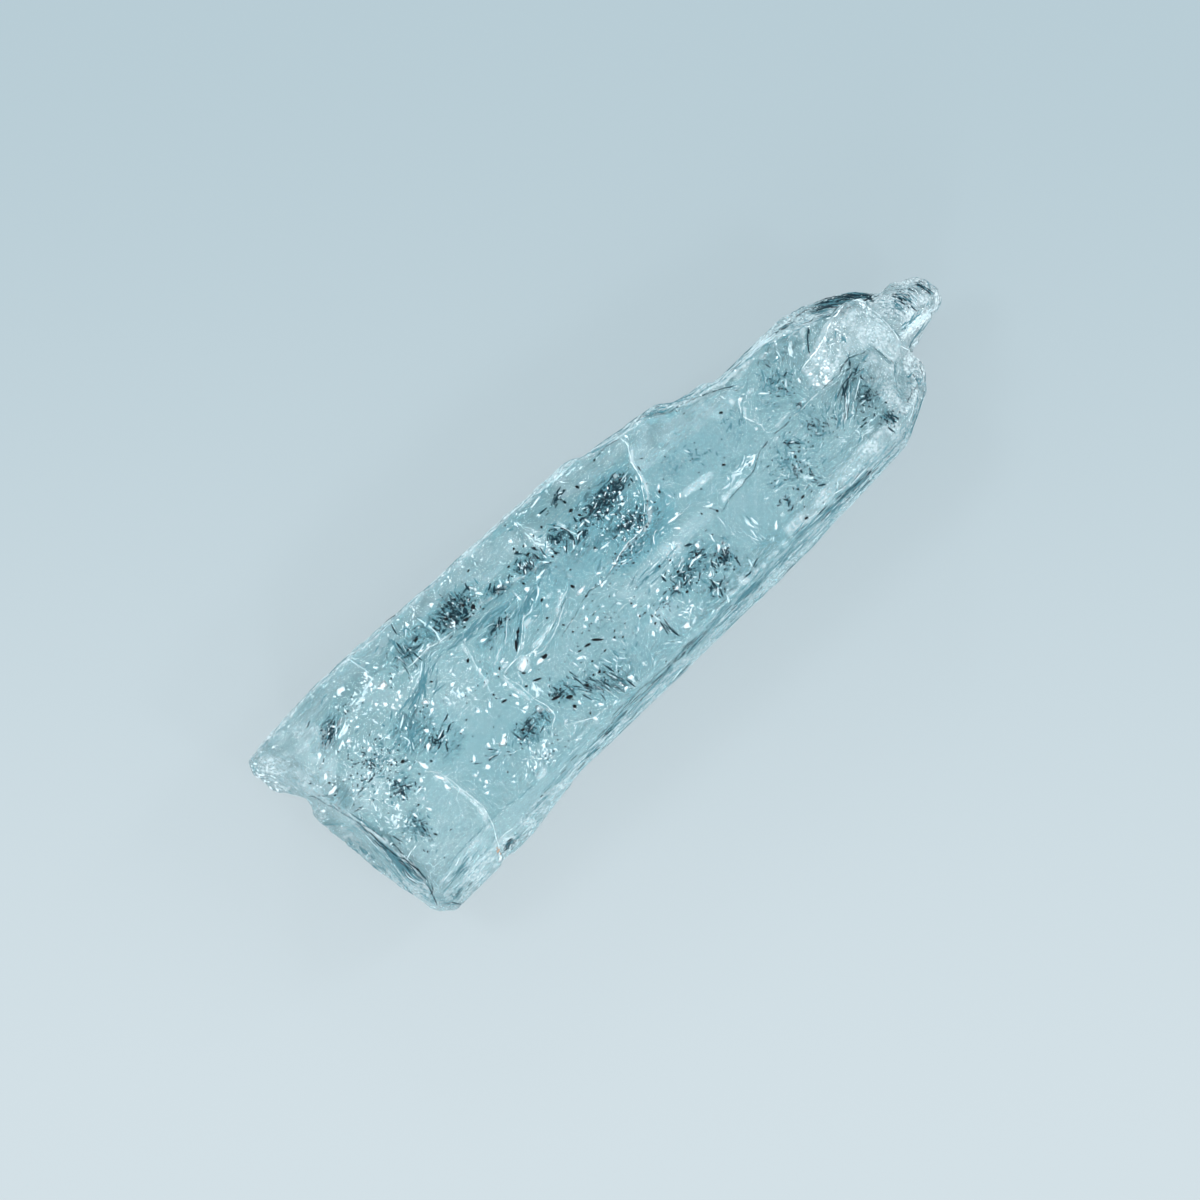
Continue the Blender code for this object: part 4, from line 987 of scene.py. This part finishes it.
grainLook = {
    "seed": 5, "scattered": 44, "sizes": (0.06, 0.12), "depth": (-0.06, -0.01),
    "middle": -4, "reach": 9, "halfWidth": 6.2,  # where the scattered ones lie
    "lowestUp": 0.5,  # none on faces steeper than this share of straight up
    "colour": (0.002, 0.003, 0.005, 1), "mottle": 0.01, "lobes": 0.3,
    # along, across, half length, half width, turn
    "placed": [
        (-20.2, 0.95, 0.15, 0.13, 0), (-20.9, 1.35, 0.08, 0.08, 0), (-8.45, -0.8, 0.24, 0.13, 0),
        (-10.75, -1.35, 0.13, 0.08, -10), (-9.9, -1.55, 0.32, 0.08, -28), (-9.3, 1.05, 0.42, 0.1, 48),
        (-8.55, 1.65, 0.16, 0.11, 30), (-11.15, 0.75, 0.12, 0.12, 0), (-5.9, 2, 0.14, 0.1, 40),
        (-5.85, -2.3, 0.26, 0.09, -20), (-5.15, -2.5, 0.4, 0.1, -45), (-9.9, -3.3, 0.34, 0.13, -30),
        (-9.2, -3.9, 0.28, 0.13, -40), (-9.4, -4.6, 0.14, 0.13, 0), (-0.25, 4.9, 0.16, 0.14, 0),
        (-0.15, 5.6, 0.08, 0.16, 0), (-0.2, 5.9, 0.07, 0.07, 0), (-9.5, 4.95, 0.21, 0.17, 0),
        (-9.9, 5.5, 0.11, 0.1, 0), (-10.4, 4.7, 0.16, 0.15, 0), (-13.8, 6.1, 0.18, 0.13, 0),
        (-4.4, 4.85, 0.18, 0.1, 0), (-4.1, 4.2, 0.1, 0.14, 0), (-3.8, 4.85, 0.1, 0.12, 0),
        (-12.3, 2.65, 0.16, 0.1, 30), (-12.5, -1, 0.22, 0.08, -20), (-17.8, -0.1, 0.07, 0.07, 0),
        (-24.7, -4.9, 0.09, 0.09, 0), (-21.5, -1.85, 0.08, 0.08, 0), (-6.5, 0.9, 0.09, 0.09, 0),
        (-3.6, 0.1, 0.11, 0.08, 0), (-3.8, 1.2, 0.1, 0.18, 20), (-7.8, -4.2, 0.14, 0.12, 0),
        (1.9, -3.1, 0.12, 0.1, 0), (1.4, -4.5, 0.12, 0.1, 0), (9.2, -0.2, 0.16, 0.09, -30),
        (6.7, -2.1, 0.1, 0.1, 0), (10.6, -6.7, 0.14, 0.1, 0), (16.3, 5, 0.2, 0.14, 0),
        (-4.1, 7.3, 0.07, 0.07, 0), (-8, 6.9, 0.12, 0.06, 0), (-4.8, 5.8, 0.09, 0.08, 0),
        (-4.2, 5.45, 0.08, 0.06, 0), (-10, 6.2, 0.08, 0.07, 0), (-9.1, 4.4, 0.09, 0.08, 0),
        (1.7, 2.55, 0.08, 0.07, 0), (-0.9, 2, 0.09, 0.08, 0), (-3.1, 2.1, 0.07, 0.06, 0),
        (-0.2, 0.7, 0.1, 0.07, 0), (-8.9, 2.9, 0.09, 0.09, 0), (-12.7, -0.2, 0.08, 0.08, 0),
        (-15.2, -0.1, 0.07, 0.07, 0), (-4.1, -1.1, 0.12, 0.05, 20), (-1.8, -2.4, 0.08, 0.07, 0),
        (1.3, -2, 0.08, 0.08, 0), (2.1, -2.2, 0.07, 0.07, 0), (-6.5, -2.2, 0.16, 0.06, -15),
        (-6.4, -3.3, 0.08, 0.08, 0), (-5.3, -3.4, 0.13, 0.06, 10), (-4.2, -3.2, 0.09, 0.08, 0),
        (-3.8, -3.6, 0.08, 0.08, 0), (-3.9, -2.9, 0.1, 0.05, 30), (-2, -3.4, 0.09, 0.08, 0),
        (-1.6, -3.5, 0.07, 0.07, 0), (-1.4, -4, 0.08, 0.08, 0), (-1.6, -4.5, 0.1, 0.08, 0),
        (-11.8, -5.4, 0.07, 0.07, 0), (-15.3, -7.3, 0.12, 0.06, 0), (-3.4, -7.1, 0.08, 0.06, 0),
        (-2.9, -6.8, 0.07, 0.06, 0), (13, -3.2, 0.1, 0.08, 0), (11.6, -4.9, 0.09, 0.08, 0),
    ],
}
fleckLook = {
    # along, across, half length, half width, turn
    "placed": [
        (-19.8, 7.3, 0.34, 0.22, 30), (-17.5, 5.5, 0.3, 0.3, 0), (-16.3, 2.7, 0.3, 0.18, 5),
        (-17.6, 1.3, 0.14, 0.2, 0), (-18.2, 0.5, 0.26, 0.14, 10), (-19.4, -0.2, 0.14, 0.45, 0),
        (-24.9, 2.9, 0.34, 0.18, 10), (-26.6, 2.4, 0.22, 0.14, -30), (-23.9, 5.2, 0.22, 0.15, 0),
        (-24.6, 3.9, 0.24, 0.12, 30), (-21.8, 4.5, 0.3, 0.12, -8), (-21.2, 3.1, 0.22, 0.15, 30),
        (-27.7, 7.1, 0.28, 0.2, 10), (-13.5, 7.3, 0.16, 0.15, 0), (-13.5, 5.2, 0.22, 0.13, 0),
        (-14.5, -2.9, 0.34, 0.26, -20), (-9.9, -0.2, 0.46, 0.26, 35), (-8.9, -0.8, 0.3, 0.17, 0),
        (-4.6, 6.3, 0.17, 0.14, 0), (-2, 6.2, 0.14, 0.12, 0), (-6.9, 3.4, 0.1, 0.42, -8),
        (-6.1, 3.2, 0.24, 0.18, 0), (-3.6, 0.6, 0.44, 0.15, -5), (-4.7, -1, 0.16, 0.14, -30),
        (-11.7, -1.3, 0.11, 0.24, 10), (-10.7, 1, 0.17, 0.15, 0), (-0.2, -6.1, 0.28, 0.2, -35),
        (4.3, -0.4, 0.48, 0.1, -12), (4.1, -2.8, 0.26, 0.17, 35), (5.9, 5.8, 0.09, 0.3, 0),
        (1.1, -3.8, 0.22, 0.22, 40), (3.3, -4.8, 0.19, 0.14, 0), (5, -3.9, 0.25, 0.16, 35),
        (10.8, -1.4, 0.4, 0.09, 25), (13.1, 2.1, 0.2, 0.14, 0), (8.8, -5.6, 0.3, 0.1, 35),
        (1.6, 5.7, 0.22, 0.12, 0), (-1.5, 7, 0.42, 0.11, 15), (-5.4, -5.9, 0.14, 0.16, 0),
        (-20.35, -8.4, 0.42, 0.12, 68), (-19.3, -2.4, 0.24, 0.16, 80), (-19.2, -1.6, 0.3, 0.12, -70),
        (-18.3, 0.4, 0.22, 0.14, 20), (-16.4, 2, 0.22, 0.14, 10), (-26.5, 2.4, 0.26, 0.14, -20),
    ],
    "seed": 9, "thickness": 0.05, "depth": (-0.015, 0.03),
    # along, across, half sizes, turn, number, size range
    "patches": [
        (-12, 1, 16, 7.5, -3, 170, (0.04, 0.08)), (-10, 1, 15, 7, -3, 190, (0.07, 0.17)),
        (8, -1, 14, 5, 0, 44, (0.04, 0.07)), (14, 0, 8, 5, 0, 24, (0.06, 0.12)),
        (-20, 4.5, 4.5, 3, 10, 70, (0.04, 0.13)), (-23.6, -1, 1.3, 3, 0, 36, (0.04, 0.12)),
        (18.2, -0.5, 0.9, 0.7, 0, 24, (0.06, 0.17)), (20, 0.5, 1.6, 0.7, 12, 20, (0.05, 0.13)),
        (23.4, 0.5, 0.35, 0.5, 0, 12, (0.06, 0.15)), (-27.6, 6.8, 0.5, 1.4, 0, 34, (0.04, 0.14)),
        (0.4, -5.6, 0.9, 0.8, 0, 9, (0.05, 0.13)), (-13.2, -5.4, 1.8, 0.9, 0, 36, (0.03, 0.1)),
        (-18, 5.4, 1.4, 1.4, 0, 26, (0.04, 0.14)), (-3.3, 4.9, 0.5, 1.1, 0, 12, (0.04, 0.1)),
        (2, 1.7, 2, 1.2, 0, 40, (0.05, 0.13)), (2.4, 3.4, 2, 1.2, 0, 30, (0.05, 0.13)),
    ],
    # number along the back edge, reach from it, size range, from where to where
    "edge": (170, 0.45, (0.03, 0.09), (-27.5, 23.0)),
    "lowestUp": 0.25, "colour": (0.72, 0.83, 0.87, 1), "mottle": 0.3, "lobes": 0.8,
}


def layFlecks(name, tree, spots, look, chance):
    # Lumps at the spots, sunk a little or just proud; none where the skin is steep.
    shape = ([], [])
    for x, y, along, across, turn in spots:
        place, normal = lookDown(tree, x, y)
        if place is None or normal.z < look["lowestUp"]:
            continue
        place = place - normal * chance.uniform(*look["depth"])
        sizes = (along, across, look.get("thickness", min(along, across) * 0.6))
        addFleck(shape, place, normal, sizes, math.radians(turn), look["lobes"], chance)
    shapePiece(name, shape, look["colour"], 0.5, look["mottle"])


def buildGrains(tree, look):
    chance = random.Random(look["seed"])
    spots = list(look["placed"])
    for _ in range(look["scattered"]):
        size = chance.uniform(*look["sizes"])
        x = chance.gauss(look["middle"], look["reach"])
        y = chance.uniform(-look["halfWidth"], look["halfWidth"])
        spots.append((x, y, size * chance.uniform(1, 1.6), size * 0.8, chance.uniform(0, 180)))
    layFlecks("darkGrains", tree, spots, look, chance)


def buildFlecks(tree, look):
    chance = random.Random(look["seed"])
    spots = list(look["placed"])
    for *patch, count, sizes in look["patches"]:
        for _ in range(count):
            reach, around = math.sqrt(chance.uniform(0, 1.1)), chance.uniform(0, fullTurn)
            size = chance.uniform(*sizes)
            spots.append((*spotIn(patch, reach, around), size * chance.uniform(0.9, 1.5),
                          size * chance.uniform(0.5, 0.9), chance.uniform(0, 180)))
    count, reach, sizes, stretch = look["edge"]
    for _ in range(count):
        x, size = chance.uniform(*stretch), chance.uniform(*sizes)
        backEdge = next((step * 0.1 for step in range(95, 0, -1) if lookDown(tree, x, step * 0.1)[0]), 0)
        y = backEdge - abs(chance.gauss(0, reach)) - size * 0.5
        spots.append((x, y, size * 1.3, size * 0.8, chance.uniform(0, 180)))
    layFlecks("paleFlecks", tree, spots, look, chance)


def buildFractures(tree, mesh, look):
    chance = random.Random(look["seed"])
    shapes = {"deep": ([], []), "soft": ([], []), "pale": ([], []), "bright": ([], [])}
    scatterSlivers(tree, look, shapes, chance)
    scatterSpecks(tree, look, shapes, chance)
    scatterSides(tree, mesh, look, shapes, chance)
    layLines(tree, look, shapes, chance)
    for tone, shape in shapes.items():
        shapePiece(tone + "Fractures", shape, look[tone + "Colour"], 0.45, look["mottle"][tone])


stainLook = {
    "placed": [(-20.05, -7.9, 0.15, 0.19, 20), (-20.12, -8.15, 0.1, 0.1, 0), (-19.95, -7.7, 0.09, 0.07, 0)],
    "seed": 3, "thickness": 0.05, "colour": (0.4, 0.24, 0.15, 1),
}


def buildStain(tree, look):
    # Brown iron stain in the chip on the near edge.
    chance = random.Random(look["seed"])
    shape = ([], [])
    for x, y, along, across, turn in look["placed"]:
        place, normal = lookDown(tree, x, y)
        addFleck(shape, place, normal, (along, across, look["thickness"]), math.radians(turn), 0.6, chance)
    shapePiece("brownStain", shape, look["colour"], 0.6, 0.2)


tree = surfaceTree(crystal)
buildGrains(tree, grainLook)
buildFlecks(tree, fleckLook)
buildFractures(tree, crystal.data, fractureLook)
buildStain(tree, stainLook)


# Floor, light and camera

stageLook = {
    "floorFar": (0.458, 0.573, 0.626, 1), "floorNear": (0.627, 0.709, 0.747, 1), "glow": 0.74, "board": 0.17,
    "floorFade": (-48, 44),  # mm towards the far right, from the near colour to the far one
    "sky": (0.90, 0.96, 1.0, 1), "skyDark": (0.38, 0.50, 0.55, 1), "skyStrength": 1.35,
    "softboxes": [
        # place in mm, size in mm, power in watts
        ("upperLeftBox", (-140, 250, 330), (110, 90), 0.60),
        ("rightStrip", (300, -60, 210), (40, 160), 0.40),
        ("lowerStrip", (-250, -190, 200), (50, 130), 0.34),
        ("farSpot", (160, 280, 160), (60, 60), 0.20),
        ("nearSpot", (60, -260, 260), (60, 60), 0.24),
    ],
}


def buildFloor(look):
    mesh = bpy.data.meshes.new("paleFloor")
    mesh.from_pydata([(-2, -2, 0), (2, -2, 0), (2, 2, 0), (-2, 2, 0)], [], [(0, 1, 2, 3)])
    floor = bpy.data.objects.new("paleFloor", mesh)
    floor.location.z = -0.00005
    bpy.context.scene.collection.objects.link(floor)
    material, place = newMaterial("paleBoard")
    slope = place.node("ShaderNodeVectorMath", {"operation": "DOT_PRODUCT"},
                       {0: place, 1: (0.7071, 0.7071, 0)}, "Value").ramp(*look["floorFade"])
    colour = slope.tinted(look["floorNear"], look["floorFar"])
    board = [(*(part * look["board"] for part in look[key][:3]), 1) for key in ("floorNear", "floorFar")]
    # the floor glows: painted light, brighter on the near side, so the crystal casts hardly any shadow
    finishMaterial(place.node("ShaderNodeBsdfPrincipled", {}, {
        "Base Color": slope.tinted(*board), "Roughness": 0.8, "Specular IOR Level": 0.0,
        "Emission Color": colour, "Emission Strength": look["glow"]}))
    mesh.materials.append(material)


def buildLight(look):
    for name, place, size, power in look["softboxes"]:
        lamp = bpy.data.lights.new(name, "AREA")
        lamp.shape = "RECTANGLE"
        lamp.size, lamp.size_y = size[0] * mm, size[1] * mm
        lamp.energy = power
        box = bpy.data.objects.new(name, lamp)
        box.location = Vector(place) * mm
        box.rotation_euler = box.location.to_track_quat("Z", "Y").to_euler()
        bpy.context.scene.collection.objects.link(box)
    world = bpy.data.worlds.new("studio")
    bpy.context.scene.world = world
    world.use_nodes = True
    world.node_tree.nodes.clear()
    place = Wire(world.node_tree.nodes.new("ShaderNodeTexCoord").outputs["Generated"])
    up = place.node("ShaderNodeSeparateXYZ", {}, {0: place}, "Z")
    band = up.ramp(0.10, 0.50) * up.ramp(1.0, 0.90)
    colour = band.tinted(look["skyDark"], look["sky"])
    glow = place.node("ShaderNodeBackground", {}, {"Color": colour, "Strength": look["skyStrength"]})
    output = world.node_tree.nodes.new("ShaderNodeOutputWorld")
    world.node_tree.links.new(glow.socket, output.inputs["Surface"])


cameraLook = {
    "lens": 180,
    "middle": (-0.00313, -0.00075), "level": 0.005,  # what it looks at, in metres
    "width": 0.0816,  # metres across the picture at that level
    "turn": -45,
}


def buildCamera(look):
    data = bpy.data.cameras.new("camera")
    data.lens = look["lens"]
    data.clip_start = 0.01
    camera = bpy.data.objects.new("camera", data)
    distance = look["width"] * look["lens"] / data.sensor_width
    camera.location = (*look["middle"], look["level"] + distance)
    camera.rotation_euler = (0, 0, math.radians(look["turn"]))
    bpy.context.scene.collection.objects.link(camera)
    bpy.context.scene.camera = camera


buildFloor(stageLook)
buildLight(stageLook)
buildCamera(cameraLook)
bpy.context.scene.view_settings.view_transform = "Standard"
print("stage set")
